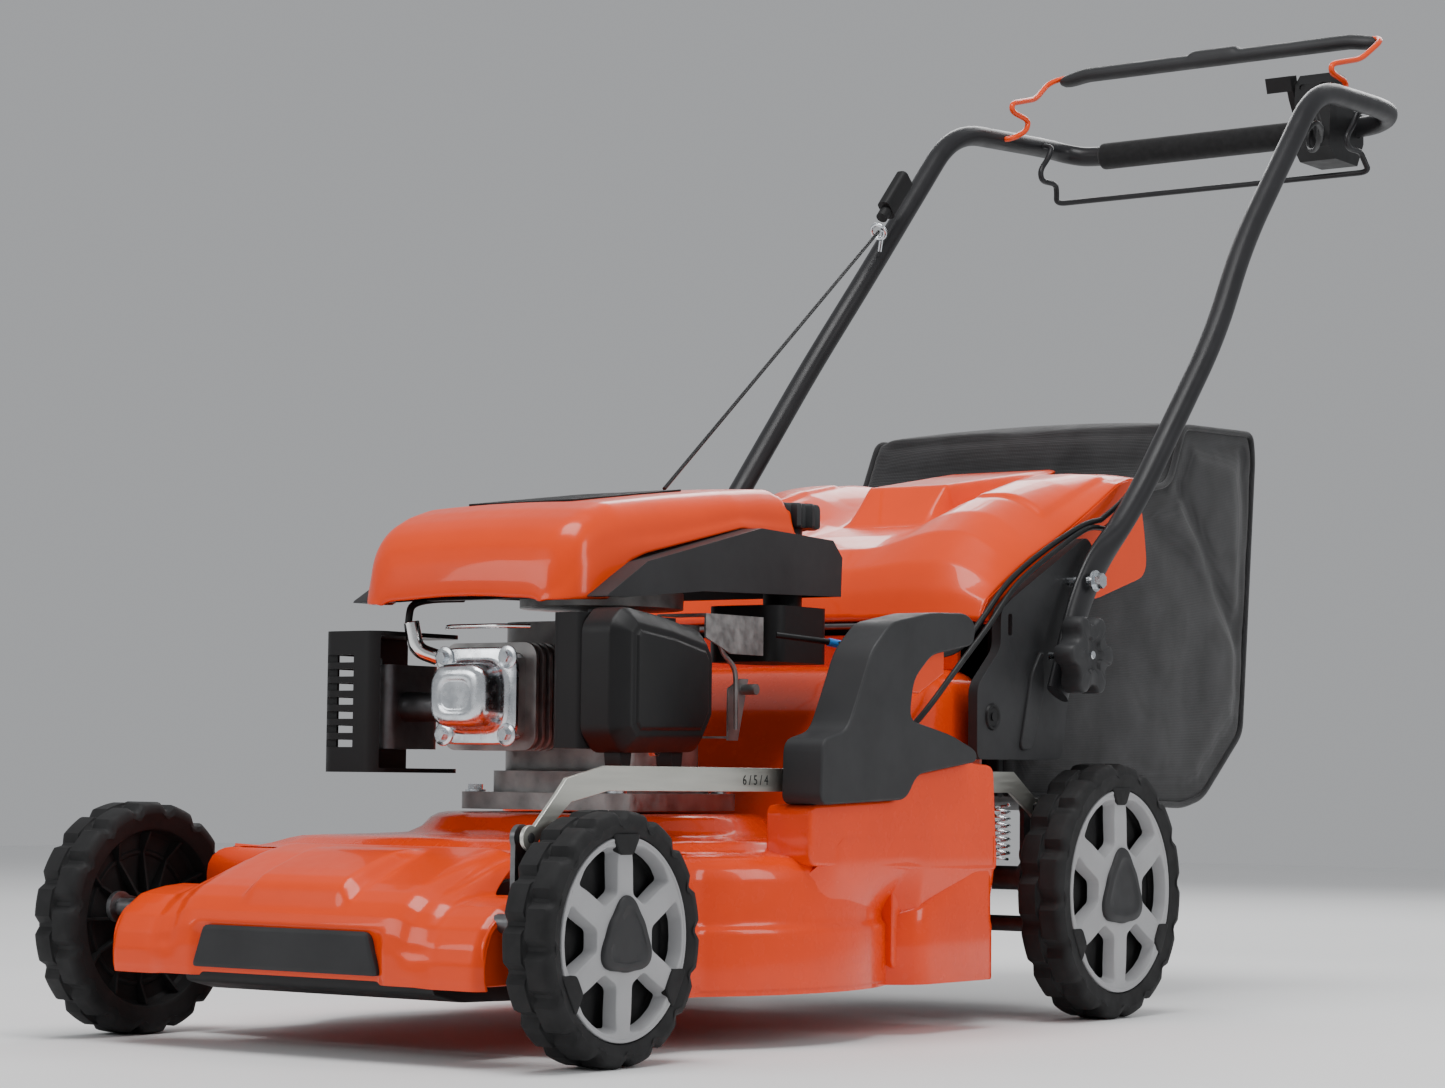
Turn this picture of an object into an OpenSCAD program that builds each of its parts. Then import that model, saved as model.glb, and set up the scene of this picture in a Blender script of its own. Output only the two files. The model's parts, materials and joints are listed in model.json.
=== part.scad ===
// Self-propelled petrol push mower with a rear grass bag.
// X runs across the machine with +X on the operator's left, -Y is the front, +Z is up.
// The origin is on the ground under the middle of the machine. Inside the modules
// lengths along Y are counted from the front axle, and placed() moves them to the origin.

/* [Wheels] */
// Radius of the front tyres
front_tyre_r = 105; // [95:1:110]
// Radius of the rear tyres
rear_tyre_r = 128; // [120:1:132]
// Width of a tyre
tyre_w = 51; // [44:1:54]
// Distance from the front axle to the rear axle
wheelbase = 808; // [790:1:830]
// Half of the width over the front wheels
front_track = 294; // [290:1:300]
// Half of the width over the rear wheels
rear_track = 306.5; // [304:0.5:312]

/* [Cutting deck] */
// Radius of the round part of the deck, measured outside
deck_r = 276; // [272:1:280]
// Height of the skirt's lower edge above the ground
skirt_z = 47; // [40:1:55]
// Height of the deck's shoulder
shoulder_z = 169; // [160:1:175]
// Thickness of the deck's steel
steel_t = 2; // [1.5:0.5:3]
// Length of the blade
blade_l = 524; // [480:1:530]
// Distance of the blade's axis behind the front axle
blade_y = 340; // [336:1:344]

/* [Height setting] */
// Distance from a crank's pivot back to its wheel's axle
crank_y = 60; // [56:1:64]
// Height of a crank's pivot above its wheel's axle
crank_z = 12; // [8:1:16]
// Length of a crank's upper arm, from its pivot to the link bar's pin
link_arm = 70; // [66:1:74]

/* [Handle] */
// Radius of the handle's tube
tube_r = 12.5; // [11:0.5:13]
// Distance of the crossbar behind the front axle
grip_y = 1630; // [1610:1:1650]
// Height of the crossbar's axis
grip_z = 1052; // [1040:1:1060]
// Outer radius of the soft sleeve on the crossbar
grip_r = 17; // [15:0.5:18]

/* [Drive] */
// Teeth on the pinion at each end of the drive shaft
pinion_teeth = 12; // [12]
// Teeth inside each rear wheel
ring_teeth = 60; // [60]

/* [Hidden] */
$fn = 48;

// Y of the middle of the whole machine, from its first point to its last
mid_y = (grip_y + grip_r - front_tyre_r) / 2;
orange = "orangered";
black = [0.09, 0.09, 0.1];
charcoal = [0.2, 0.2, 0.22];
steel = [0.62, 0.63, 0.65];
cast = [0.5, 0.5, 0.51];
gap = 0.3;

// Height setting: the pivots and pins, as [y, z]
front_hub = [0, front_tyre_r];
rear_hub = [wheelbase, rear_tyre_r];
front_pivot = front_hub + [-crank_y, crank_z];
rear_pivot = rear_hub + [-crank_y, crank_z];
front_pin = front_pivot + [0, link_arm];
rear_pin = rear_pivot + [0, link_arm];
bar_x = 238;
pivot_r = 8;
axle_r = 6;
run = 0.05;

// Drive train
drive_r = 8;
drive_z = rear_pivot[1];
gear_m = 2 * norm([crank_y, crank_z]) / (ring_teeth - pinion_teeth);
mesh_a = atan2(crank_z, -crank_y);
belt_z = 181;
engine_pulley_r = 30;
gearbox_pulley_r = 45;

// Engine heights
base_z = 206;
cyl_z = 309;
// The fuel cap's axis, as [x, y]
cap_at = [96, 504];
cap_r = 33;

// Handle: the left arm's centre line from its lower end to the crossbar
fold_pivot = [800, 441];
knob_at = [757, 364];
arm = [
  [264, 748, 325], [264, 800, 441], [265, 905, 527], [266, 1082, 722], [252, 1180, 842],
  [249, 1372, 1050], [239, 1590, 1062], [227, 1619, grip_z + 6], [197, grip_y, grip_z]
];
wire_r = 3.5;
ops_pivot = [1472, 1055];
drive_pivot = [1560, 1059];
lever_pivot = [1586, 1056];
housing_x = 134;

// The flap's outline at its middle, as [y, z], from its hinge to its rear edge
flap_pivot = [652, 392];
hinge_r = 3;
flap_top = [
  [652, 398], [672, 446], [705, 492], [760, 524], [840, 552], [930, 574], [1010, 588],
  [1074, 594]
];

// Cables: their routes from the controls down to the engine and the drive
cable_r = 3;
upper_a = [
  [156, 1547.6, 1040], [160, 1534, 1022], [176, 1510, 1006], [202, 1474, 1004],
  [224, 1430, 1026], [232, 1390, 1032], [234, 1330, 990], [236, 1200, 850], [244, 1150, 790],
  [248, 1100, 720], [249, 1010, 625], [247.5, 930, 545], [247, 866, 509]
];
upper_b = [
  [166, 1547.6, 1048], [174, 1530, 1030], [192, 1500, 1014], [212, 1462, 1014],
  [230, 1424, 1014], [238, 1388, 1012], [241, 1334, 972], [243, 1206, 838], [248, 1160, 778],
  [250, 1112, 712], [250, 1022, 616], [248, 942, 536], [247, 874, 500]
];
lower_a = [
  [247, 864.4, 508.1], [244, 830, 500], [240, 760, 470], [240, 690, 434], [239, 640, 394],
  [236, 600, 364], [230, 540, 356], [216, 480, 360], [196, 436, 366], [160, 402, 372]
];
lower_b = [
  [247, 872.2, 499], [247.5, 834, 497], [247, 764, 467], [247, 694, 431], [246, 642, 388],
  [241, 596, 348], [232, 560, 310], [232, 520, 284], [232, 478, 262], [232, 466, 232],
  [232, 466, 200]
];

// Starter rope, from the engine's cover to its guide on the right arm
rope_r = 2;
rope_from = [-50, 505, 526];
rope_to = [-226, 1166, 893];
grip_dir = [0, 0.682, 0.731];

module placed() {
  translate([0, -mid_y, 0]) children();
}

module both_sides() {
  children();
  mirror([1, 0, 0]) children();
}

// A flat outline in Y and Z, given thickness along X from x0 to x1
module plate(x0, x1) {
  translate([x0, 0, 0]) rotate([90, 0, 90]) linear_extrude(x1 - x0) children();
}

// A round bar along X from x0 to x1 at [y, z]
module bar(x0, x1, at, r) {
  translate([x0, at[0], at[1]]) rotate([0, 90, 0]) cylinder(h = x1 - x0, r = r);
}

module rounded_rect(w, h, r) {
  translate([-w / 2 + r, -h / 2]) square([w - 2 * r, h]);
  translate([-w / 2, -h / 2 + r]) square([w, h - 2 * r]);
  for (x = [-1, 1], y = [-1, 1]) translate([x * (w / 2 - r), y * (h / 2 - r)]) circle(r);
}

// A flat link between two points, with a round eye at each end and a narrower neck
module link(a, b, r) {
  d = b - a;
  neck = 0.86 * r;
  translate(a) circle(r);
  translate(b) circle(r);
  translate(a) rotate(atan2(d[1], d[0])) translate([0, -neck]) square([norm(d), 2 * neck]);
}

module segment(a, b, r) {
  d = b - a;
  translate(a) rotate([0, acos(d[2] / norm(d)), atan2(d[1], d[0])]) cylinder(h = norm(d), r = r);
}

// A route with each inner corner rounded, starting d before it at most
function rounded(p, d, steps = 4) = concat([p[0]], [
  for (i = [1 : len(p) - 2])
    let (
      c = min(d, 0.45 * norm(p[i - 1] - p[i]), 0.45 * norm(p[i + 1] - p[i])),
      a = p[i] + c * unit(p[i - 1] - p[i]),
      b = p[i] + c * unit(p[i + 1] - p[i])
    )
    for (s = [0 : steps])
      let (t = s / steps) (1 - t) * (1 - t) * a + 2 * t * (1 - t) * p[i] + t * t * b
], [p[len(p) - 1]]);

// A bent round bar through a list of points
module bent_bar(points, r, bend, n = 10) {
  cord(rounded(points, bend), r, n);
}

// The points of a ring of n sides about p, square to direction d
function across(d) = norm(cross(d, [0, 0, 1])) > 0.01 ? cross(d, [0, 0, 1]) : [1, 0, 0];
function unit(v) = v / norm(v);
function ring(p, d, r, n) =
  let (u = unit(across(d)), v = unit(cross(d, u)))
  [for (i = [0 : n - 1]) p + r * (cos(360 * i / n) * u + sin(360 * i / n) * v)];
function heading(points, i) =
  unit(points[min(i + 1, len(points) - 1)] - points[max(i - 1, 0)]);

// A cord swept along a route as one closed solid
module cord(route, r, n = 8) {
  last = len(route) - 1;
  rings = [for (i = [0 : last]) each ring(route[i], heading(route, i), r, n)];
  sides = [
    for (i = [0 : last - 1], j = [0 : n - 1])
      let (a = i * n + j, b = i * n + (j + 1) % n)
      each [[a, a + n, b + n], [a, b + n, b]]
  ];
  start = [for (j = [0 : n - 1]) j];
  end = [for (j = [n - 1 : -1 : 0]) last * n + j];
  polyhedron(points = rings, faces = concat([start], sides, [end]), convexity = 6);
}

// Points between the route's own points, on a smooth curve
function smooth_point(p0, p1, p2, p3, t) =
  0.5 * (2 * p1 + (p2 - p0) * t + (2 * p0 - 5 * p1 + 4 * p2 - p3) * t * t
  + (3 * p1 - p0 - 3 * p2 + p3) * t * t * t);
function smooth(p, steps) = concat([
  for (i = [0 : len(p) - 2], s = [0 : steps - 1])
    smooth_point(p[max(i - 1, 0)], p[i], p[i + 1], p[min(i + 2, len(p) - 1)], s / steps)
], [p[len(p) - 1]]);

// ---------------------------------------------------------------- deck

tunnel_x = 222;
tunnel_side = [
  [430, 160], [470, 236], [520, 304], [572, 342], [600, 350], [672, 350], [672, 160]
];
tunnel_inside = [
  [437, 150], [474, 235], [523, 301], [574, 339], [600, 346], [680, 346], [680, 150]
];

module deck_outline(r, front, back, half_w) {
  intersection() {
    translate([0, blade_y]) circle(r, $fn = 96);
    translate([-half_w - 60, front]) square([2 * half_w + 120, back - front]);
  }
  translate([-half_w, front]) square([2 * half_w, blade_y - front]);
  translate([-half_w, blade_y]) square([2 * half_w, back - blade_y]);
}

module deck_shell() {
  t = steel_t;
  color(orange) placed() {
    difference() {
      union() {
        translate([0, 0, skirt_z])
          linear_extrude(shoulder_z - skirt_z) deck_outline(deck_r, 44, 672, tunnel_x + 8);
        translate([0, 0, skirt_z]) linear_extrude(185 - skirt_z)
          deck_outline(deck_r - 26, 56, 640, 205);
        translate([0, blade_y, 180]) cylinder(h = base_z - 180 - gap, r = 150, $fn = 96);
        plate(-tunnel_x, tunnel_x) polygon(tunnel_side);
      }
      translate([0, 0, skirt_z - 1]) linear_extrude(shoulder_z - skirt_z - t + 1)
        deck_outline(deck_r - t, 44 + t, 680, tunnel_x + 8 - t);
      translate([0, 0, skirt_z - 1]) linear_extrude(185 - skirt_z - t + 1)
        deck_outline(deck_r - 26 - t, 56 + t, 637, 205 - t);
      translate([0, blade_y, 170]) cylinder(h = base_z - 170 - gap - t, r = 150 - t, $fn = 96);
      plate(-tunnel_x + t, tunnel_x - t) polygon(tunnel_inside);
      translate([0, blade_y, 190]) cylinder(h = 30, r = 24);
    }
    // Ledge under the lift grip
    plate(244, 274) polygon([
      [289, 167], [289, 213.7], [432, 218.7], [449, 241.7], [556, 254.7], [612, 250],
      [628, 200], [628, 150], [560, 120], [520, 167]
    ]);
    // The flap's hinge rod on two lugs
    bar(-212, 212, flap_pivot, hinge_r);
    both_sides() plate(203, 209) {
      translate(flap_pivot) circle(4.2);
      polygon([[644, 348], [660, 348], [655, 390], [649, 390]]);
    }
    // Floor of the discharge chute
    translate([-tunnel_x + t, 600, 196]) cube([2 * (tunnel_x - t), 126, t]);
    // Bearing blocks of the rear axle
    both_sides() difference() {
      plate(196, 221) polygon([[660, 100], [660, 170], [772, 170], [772, 122], [745, 112]]);
      bar(190, 224, rear_pivot, 12 + run);
    }
  }
}

shroud_side = [
  [-92, 66], [-92, 104], [-78, 132], [-52, 146], [10, 168], [43.7, 176], [43.7, 60], [-80, 60]
];

module front_shroud() {
  color(orange) placed() difference() {
    union() {
      plate(-205, 205) polygon(shroud_side);
      plate(-55, 55) polygon([[-84, 110], [-66, 150], [-24, 166], [34, 178], [34, 150]]);
      both_sides() plate(150, 213) polygon([[-92, 62], [-92, 100], [-76, 128], [-50, 136],
        [-8, 140], [-8, 62]]);
    }
    plate(-209, 209) polygon([[-88, 50], [-88, 102], [-75, 125], [-50, 132], [-12, 136],
      [-12, 50]]);
    plate(-201, 201) polygon([[-88, 50], [-88, 103], [-76, 128], [-50, 142], [11, 164],
      [60, 172], [60, 50]]);
    bar(-220, 220, front_pivot, pivot_r + run);
    plate(-108, 108) polygon([[-95, 70], [-95, 109], [-90, 109], [-90, 70]]);
  }
}

module bumper_panel() {
  color(charcoal) placed() translate([0, -90 - gap, 0]) rotate([90, 0, 0])
    linear_extrude(4) polygon([[-106, 72], [-92, 107], [92, 107], [106, 72]]);
}

module side_bracket() {
  difference() {
    union() {
      plate(236, 248) polygon([
        [622, 258], [622, 330], [666, 368], [666, 406], [690, 420], [836, 490], [852, 478],
        [820, 404], [800, 330], [787, 259]
      ]);
      plate(226, 236) polygon([[640, 262], [640, 330], [668, 330], [668, 262]]);
    }
    bar(220, 260, fold_pivot, 5 + run);
    plate(230, 250) translate([684, 392]) rounded_rect(7, 20, 3);
    bar(220, 250, [650, 300], 4);
    bar(220, 250, [724, 276], 4);
  }
}

module side_bracket_left() {
  color(charcoal) placed() side_bracket();
}

module side_bracket_right() {
  color(charcoal) placed() mirror([1, 0, 0]) side_bracket();
}

module lift_grip() {
  color(charcoal) placed() difference() {
    union() {
      plate(248, 288) polygon([
        [289, 214], [291, 272], [331, 281], [347, 309], [371, 355], [404, 382], [473, 394],
        [536, 396], [552, 386], [549, 366], [474, 354], [443, 330], [436, 293], [510, 280],
        [555, 266], [556, 255], [449, 242], [432, 219]
      ]);
      plate(244, 248) polygon([[289, 214], [291, 272], [436, 293], [510, 280], [555, 266],
        [556, 255], [449, 242], [432, 219]]);
    }
    plate(259.4, 276.6) polygon([[436, 320], [436, 372], [520, 372], [520, 340]]);
  }
}

module latch_button() {
  color(orange) placed() plate(260, 276)
    polygon([[446, 318], [446, 352], [474, 358], [514, 362], [514, 338], [470, 318]]);
}

// ---------------------------------------------------------------- height setting

// A long flat strip, cranked up between its two pins
link_half_h = 10.5;
link_high_z = 236;

module link_bar() {
  color(steel) placed() difference() {
    plate(bar_x - 2, bar_x + 2) {
      translate(front_pin) circle(link_half_h);
      translate(rear_pin) circle(link_half_h);
      polygon([
        front_pin + [-9, -3], [-26, 224], [-14, 236], [38, link_high_z + link_half_h],
        [704, link_high_z + link_half_h], rear_pin + [9, 4], rear_pin + [-7, -7],
        [698, link_high_z - link_half_h], [42, link_high_z - link_half_h], [-8, 216],
        front_pin + [9, -3]
      ]);
    }
    bar(bar_x - 5, bar_x + 5, front_pin, 4 + run);
    bar(bar_x - 5, bar_x + 5, rear_pin, 6);
  }
}

module front_axle() {
  x = 226;
  color(charcoal) placed() {
    bar(-x, x, front_pivot, pivot_r);
    plate(x, x + 5) {
      link(front_pivot, front_hub, 14);
      link(front_pivot, front_pin, 11);
    }
    mirror([1, 0, 0]) plate(x, x + 5) link(front_pivot, front_hub, 14);
    both_sides() bar(x, front_track - 14, front_hub, axle_r);
    bar(x, bar_x + 2.5, front_pin, 4);
  }
}

module rear_axle() {
  x = 226;
  color(charcoal) placed() {
    both_sides() {
      difference() {
        union() {
          plate(x, x + 5) link(rear_pivot, rear_hub, 17);
          bar(190, x, rear_pivot, 12);
          plate(x, x + 5) link(rear_pivot, rear_pivot + [8, -46], 14);
        }
        bar(180, 240, rear_pivot, drive_r + run);
      }
      bar(x, rear_track - 14, rear_hub, axle_r);
    }
    plate(x, x + 5) difference() {
      link(rear_pivot + [0, 24], rear_pin, 10);
      translate(rear_pivot) circle(16);
    }
    bar(x, bar_x + 2.5, rear_pin, 4);
    bar(-x, x, rear_pivot + [8, -46], 8);
  }
}

module lift_spring() {
  turns = 8;
  coil_r = 9;
  top = [233, 690, 214];
  route = [
    for (i = [0 : turns * 9])
      top + [coil_r * cos(40 * i), coil_r * sin(40 * i), -54 * i / (turns * 9)]
  ];
  color(steel) placed() cord(route, 1.6, 6);
}

// ---------------------------------------------------------------- drive

module gearbox() {
  color(cast) placed() difference() {
    union() {
      bar(-34, 34, rear_pivot, 29);
      translate([0, rear_pivot[0], drive_z]) cylinder(h = 32, r = 20);
      translate([-8, 660, 122]) cube([16, 66, 30]);
    }
    bar(-50, 50, rear_pivot, drive_r + run);
    translate([0, rear_pivot[0], drive_z + 20]) cylinder(h = 20, r = 7 + run);
  }
}

module vee_pulley(r, bore) {
  rotate_extrude() polygon([
    [bore, -8], [r + 4, -8], [r + 4, -6], [r - 5, -2.5], [r - 5, 2.5], [r + 4, 6], [r + 4, 8],
    [bore, 8]
  ]);
}

module gearbox_pulley() {
  color(steel) placed() {
    translate([0, rear_pivot[0], belt_z]) vee_pulley(gearbox_pulley_r, 5);
    translate([0, rear_pivot[0], drive_z + 21]) cylinder(h = belt_z + 8 - drive_z - 21, r = 7);
  }
}

// The pinion's outline, with straight flanks
module pinion_outline() {
  pr = pinion_teeth * gear_m / 2;
  tip = pr + 0.75 * gear_m;
  root = pr - gear_m;
  w = 0.8 * 90 / pinion_teeth;
  polygon([
    for (i = [0 : pinion_teeth - 1])
      let (a = 360 * i / pinion_teeth)
      each [
        root * [cos(a - w * 1.35), sin(a - w * 1.35)], tip * [cos(a - w * 0.5), sin(a - w * 0.5)],
        tip * [cos(a + w * 0.5), sin(a + w * 0.5)], root * [cos(a + w * 1.35), sin(a + w * 1.35)]
      ]
  ]);
}

module drive_shaft() {
  x = rear_track - tyre_w + 6;
  color(steel) placed() {
    bar(-x - 1, x + 1, rear_pivot, drive_r);
    both_sides() plate(x, x + 15) translate(rear_pivot) rotate(mesh_a)
      pinion_outline();
  }
}

module drive_belt() {
  a = asin((gearbox_pulley_r - engine_pulley_r) / (rear_pivot[0] - blade_y));
  color(black) placed() translate([0, 0, belt_z - 3.2]) linear_extrude(6.4) difference() {
    belt_outline(4.4, a);
    belt_outline(-2.2, a);
  }
}

module belt_outline(more, a) {
  e = engine_pulley_r + more;
  g = gearbox_pulley_r + more;
  translate([0, blade_y]) circle(e);
  translate([0, rear_pivot[0]]) circle(g);
  polygon([
    [e * cos(a), blade_y - e * sin(a)], [g * cos(a), rear_pivot[0] - g * sin(a)],
    [-g * cos(a), rear_pivot[0] - g * sin(a)], [-e * cos(a), blade_y - e * sin(a)]
  ]);
}

module crankshaft() {
  color(steel) placed() translate([0, blade_y, 0]) {
    translate([0, 0, 84]) cylinder(h = 320, r = 12.5);
    difference() {
      translate([0, 0, 404]) cylinder(h = 26, r = 9);
      translate([0, 0, 425]) cylinder(h = 10, r = 4);
    }
  }
}

module flywheel() {
  color(cast) placed() translate([0, blade_y, 0]) difference() {
    union() {
      translate([0, 0, 396]) cylinder(h = 16, r = 78);
      translate([0, 0, 404.2]) cylinder(h = 14, r = 26);
      for (i = [0 : 11]) rotate(30 * i) translate([34, -1.5, 404]) cube([42, 3, 18]);
    }
    translate([0, 0, 380]) cylinder(h = 24.2, r = 12.5 + run);
    translate([0, 0, 400]) cylinder(h = 40, r = 9 + run);
  }
}

module blade_adapter() {
  color(cast) placed() translate([0, blade_y, 0]) {
    difference() {
      union() {
        translate([0, 0, 68.2]) cylinder(h = 10, r = 34);
        translate([0, 0, 68.2]) cylinder(h = 105, r = 20);
        translate([0, 0, belt_z]) vee_pulley(engine_pulley_r, 16);
      }
      translate([0, 0, 84 - run]) cylinder(h = 120, r = 12.5 + run);
      translate([0, 0, 60]) cylinder(h = 30, r = 5 + run);
    }
    translate([0, 0, 56]) cylinder(h = 8 - run, r = 17);
    translate([0, 0, 48.5]) cylinder(h = 7.5, r = 9, $fn = 6);
    translate([0, 0, 60]) cylinder(h = 23, r = 5);
  }
}

module blade() {
  color(steel) placed() translate([0, blade_y, 64]) difference() {
    union() {
      translate([-blade_l / 2, -28, 0]) cube([blade_l, 56, 4]);
      for (s = [0, 180]) rotate(s) translate([blade_l / 2 - 70, 10, 1]) rotate([28, 0, 0])
        cube([70, 26, 4]);
    }
    translate([0, 0, -1]) cylinder(h = 10, r = 5 + run);
    for (s = [0, 180]) rotate(s) translate([blade_l / 2 - 150, -32, -1]) rotate([0, 0, -3])
      cube([160, 8, 10]);
  }
}

// ---------------------------------------------------------------- engine

module crankcase() {
  color(cast) placed() difference() {
    union() {
      translate([0, blade_y, base_z]) linear_extrude(16) rounded_rect(200, 196, 24);
      translate([0, blade_y + 4, base_z + 16]) linear_extrude(20) rounded_rect(146, 184, 30);
      translate([0, blade_y + 4, base_z + 36]) linear_extrude(140) rounded_rect(150, 150, 34);
      translate([0, 275, cyl_z]) rotate([90, 0, 0]) cylinder(h = 65.5, r = 40);
      for (i = [0 : 5]) translate([0, 258 - i * 9, cyl_z]) rotate([90, 0, 0])
        linear_extrude(3.5) rounded_rect(104, 92, 14);
    }
    translate([0, blade_y, base_z - 1]) cylinder(h = 200, r = 12.5 + run);
    for (x = [-1, 1], y = [-1, 1]) translate([x * 84, blade_y + y * 82, base_z - 1])
      cylinder(h = 20, r = 4.2);
    translate([-50, 394, 340]) cylinder(h = 60, r = 10 + run);
    // The room that the crank turns in
    translate([0, blade_y + 4, base_z + 24]) linear_extrude(132) rounded_rect(134, 134, 28);
  }
}

module cylinder_head() {
  color(cast) placed() difference() {
    union() {
      for (i = [0 : 3]) translate([0, 208.9 - i * 10, cyl_z]) rotate([90, 0, 0])
        linear_extrude(4) rounded_rect(108, 98, 14);
      translate([0, 209.2, cyl_z]) rotate([90, 0, 0]) linear_extrude(49) rounded_rect(84, 80, 12);
    }
    for (x = [-1, 1], z = [-1, 1]) translate([x * 37, 150, cyl_z + z * 35])
      rotate([-90, 0, 0]) cylinder(h = 22, r = 3);
    translate([-60, 178, 350]) rotate([0, 135, 0]) cylinder(h = 26, r = 6.5);
  }
}

module valve_cover() {
  color(steel) placed() difference() {
    union() {
      translate([0, 160, cyl_z]) rotate([90, 0, 0]) linear_extrude(5) rounded_rect(92, 88, 14);
      translate([0, 155, cyl_z]) rotate([90, 0, 0]) linear_extrude(30) rounded_rect(68, 60, 12);
    }
    translate([0, 161, cyl_z]) rotate([90, 0, 0]) linear_extrude(32) rounded_rect(60, 52, 10);
    for (x = [-1, 1], z = [-1, 1]) translate([x * 37, 140, cyl_z + z * 35])
      rotate([-90, 0, 0]) cylinder(h = 30, r = 3);
  }
}

module flange_bolt(l, r) {
  cylinder(h = 2, r = 2.3 * r);
  translate([0, 0, 2]) cylinder(h = 5, r = 1.8 * r, $fn = 6);
  translate([0, 0, -l]) cylinder(h = l + 0.5, r = r - 0.1);
}

module engine_bolts() {
  color(steel) placed() {
    for (x = [-1, 1], z = [-1, 1]) translate([x * 37, 155 - run, cyl_z + z * 35])
      rotate([90, 0, 0]) flange_bolt(16, 3);
    for (x = [-1, 1], y = [-1, 1]) translate([x * 84, blade_y + y * 82, base_z + 16.1])
      flange_bolt(14, 4.2);
  }
}

module spark_plug_lead() {
  color(black) placed() {
    bent_bar([[-64, 174, 346], [-80, 160, 352], [-82, 156, 386]], 6.2, 12);
    cord(smooth([[-82, 157, 387.2], [-81, 163, 394], [-75, 180, 399], [-60, 208, 401]], 3), 3.2);
  }
}

module muffler() {
  color(cast) placed() {
    translate([-128, 196, 300]) linear_extrude(78, center = true) rounded_rect(42, 78, 14);
    translate([-107.2, 186, 300]) rotate([0, 90, 0]) cylinder(h = 52.8, r = 14);
  }
}

module muffler_guard() {
  color(black) placed() difference() {
    translate([-130, 190, 239]) linear_extrude(130) rounded_rect(70, 124, 16);
    translate([-126, 196, 243]) linear_extrude(122) rounded_rect(70, 124, 12);
    translate([-108, 196, 243]) linear_extrude(122) rounded_rect(70, 100, 8);
    for (i = [0 : 6]) translate([-170, 120, 262 + i * 13]) cube([46, 14, 7]);
    for (i = [0 : 6]) translate([-170, 150, 262 + i * 13]) cube([10, 60, 7]);
  }
}

module air_filter_box() {
  color(black) placed() difference() {
    translate([122, 204, 262]) linear_extrude(120) rounded_rect(38, 142, 10);
    translate([130, 204, 268]) linear_extrude(108) rounded_rect(38, 128, 8);
    bar(96, 110, [266, 312], 11);
  }
}

module air_filter_cover() {
  color(black) placed() difference() {
    plate(141.2, 190) polygon([
      [128, 276], [128, 370], [146, 394], [206, 386], [262, 372], [276, 352], [276, 290],
      [256, 258], [146, 256]
    ]);
    plate(140, 186) polygon([
      [133, 278], [133, 368], [148, 388], [206, 381], [260, 367], [271, 350], [271, 292],
      [252, 262], [148, 261]
    ]);
  }
}

module carburetor() {
  color(cast) placed() {
    translate([86, 272, 312]) linear_extrude(46, center = true) rounded_rect(24, 40, 8);
    bar(98.2, 102.8, [266, 312], 10.5);
    translate([90, 268, 276]) cylinder(h = 12.8, r = 12.5);
    plate(150, 152) polygon([[300, 366], [300, 388], [392, 388], [392, 352], [340, 352]]);
    plate(96, 150) polygon([[300, 386], [300, 388], [330, 388], [330, 386]]);
    bent_bar([[146, 322, 384], [146, 334, 352], [146, 356, 340], [146, 358, 282]], 2.4, 12);
    plate(139, 141) polygon([[352, 272], [352, 320], [372, 330], [384, 330], [368, 272]]);
    bar(141, 156, [376, 320], 5);
    plate(96, 139) polygon([[354, 274], [354, 276], [366, 276], [366, 274]]);
  }
}

module fuel_tank() {
  color(black) placed() {
    translate([100, 474, 348]) linear_extrude(54) rounded_rect(84, 100, 20);
    translate([cap_at[0], cap_at[1], 400]) cylinder(h = 80, r = 19);
  }
}

module fuel_cap() {
  color(charcoal) placed() translate([cap_at[0], cap_at[1], 480.3]) {
    cylinder(h = 24, r = cap_r);
    for (i = [0 : 11]) rotate(30 * i) translate([cap_r, 0, 2]) cylinder(h = 20, r = 3.4, $fn = 16);
  }
}

module oil_dipstick() {
  color(charcoal) placed() translate([-50, 394, 0]) {
    translate([0, 0, 383]) cylinder(h = 8, r = 15);
    translate([-14, -2, 390]) cube([28, 4, 5.5]);
    translate([0, 0, 345]) cylinder(h = 39, r = 10);
  }
}

module blower_housing() {
  color(charcoal) placed() difference() {
    plate(-150, 150) polygon([
      [154.5, 396.5], [156, 398.5], [213, 430.5], [391, 472], [512, 468], [528, 452], [526, 414],
      [300, 408], [180, 396.5]
    ]);
    plate(-146, 146) polygon([
      [158, 370], [158, 392], [214, 426.5], [391, 468], [510, 464], [524, 450], [522, 380]
    ]);
    translate([cap_at[0], cap_at[1], 440]) cylinder(h = 60, r = 21);
    translate([0, blade_y, 430]) cylinder(h = 60, r = 60);
    // Notch for the spark plug's lead
    translate([-100, 140, 380]) cube([40, 60, 36]);
  }
}

cover_slope = atan2(23, 178);

module engine_cover() {
  color(orange) placed() difference() {
    plate(-128, 128) polygon([
      [128, 393], [149.6, 397], [212, 433], [391, 475], [531, 470], [531, 506], [500, 524],
      [480, 524], [384, 512], [206, 489], [140, 462]
    ]);
    plate(-124, 124) polygon([
      [132, 380], [144, 458], [207, 485], [384, 508], [500, 520], [527, 502], [527, 440],
      [391, 460], [213, 420], [153, 380]
    ]);
    translate([-62, 206, 489]) rotate([cover_slope, 0, 0]) translate([0, 8, -12])
      cube([124, 170, 30]);
    translate(rope_from) rotate([-60, 0, 0]) translate([0, 0, -20]) cylinder(h = 40, r = 5);
    translate([cap_at[0], cap_at[1], 440]) cylinder(h = 100, r = cap_r + 5);
  }
}

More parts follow.
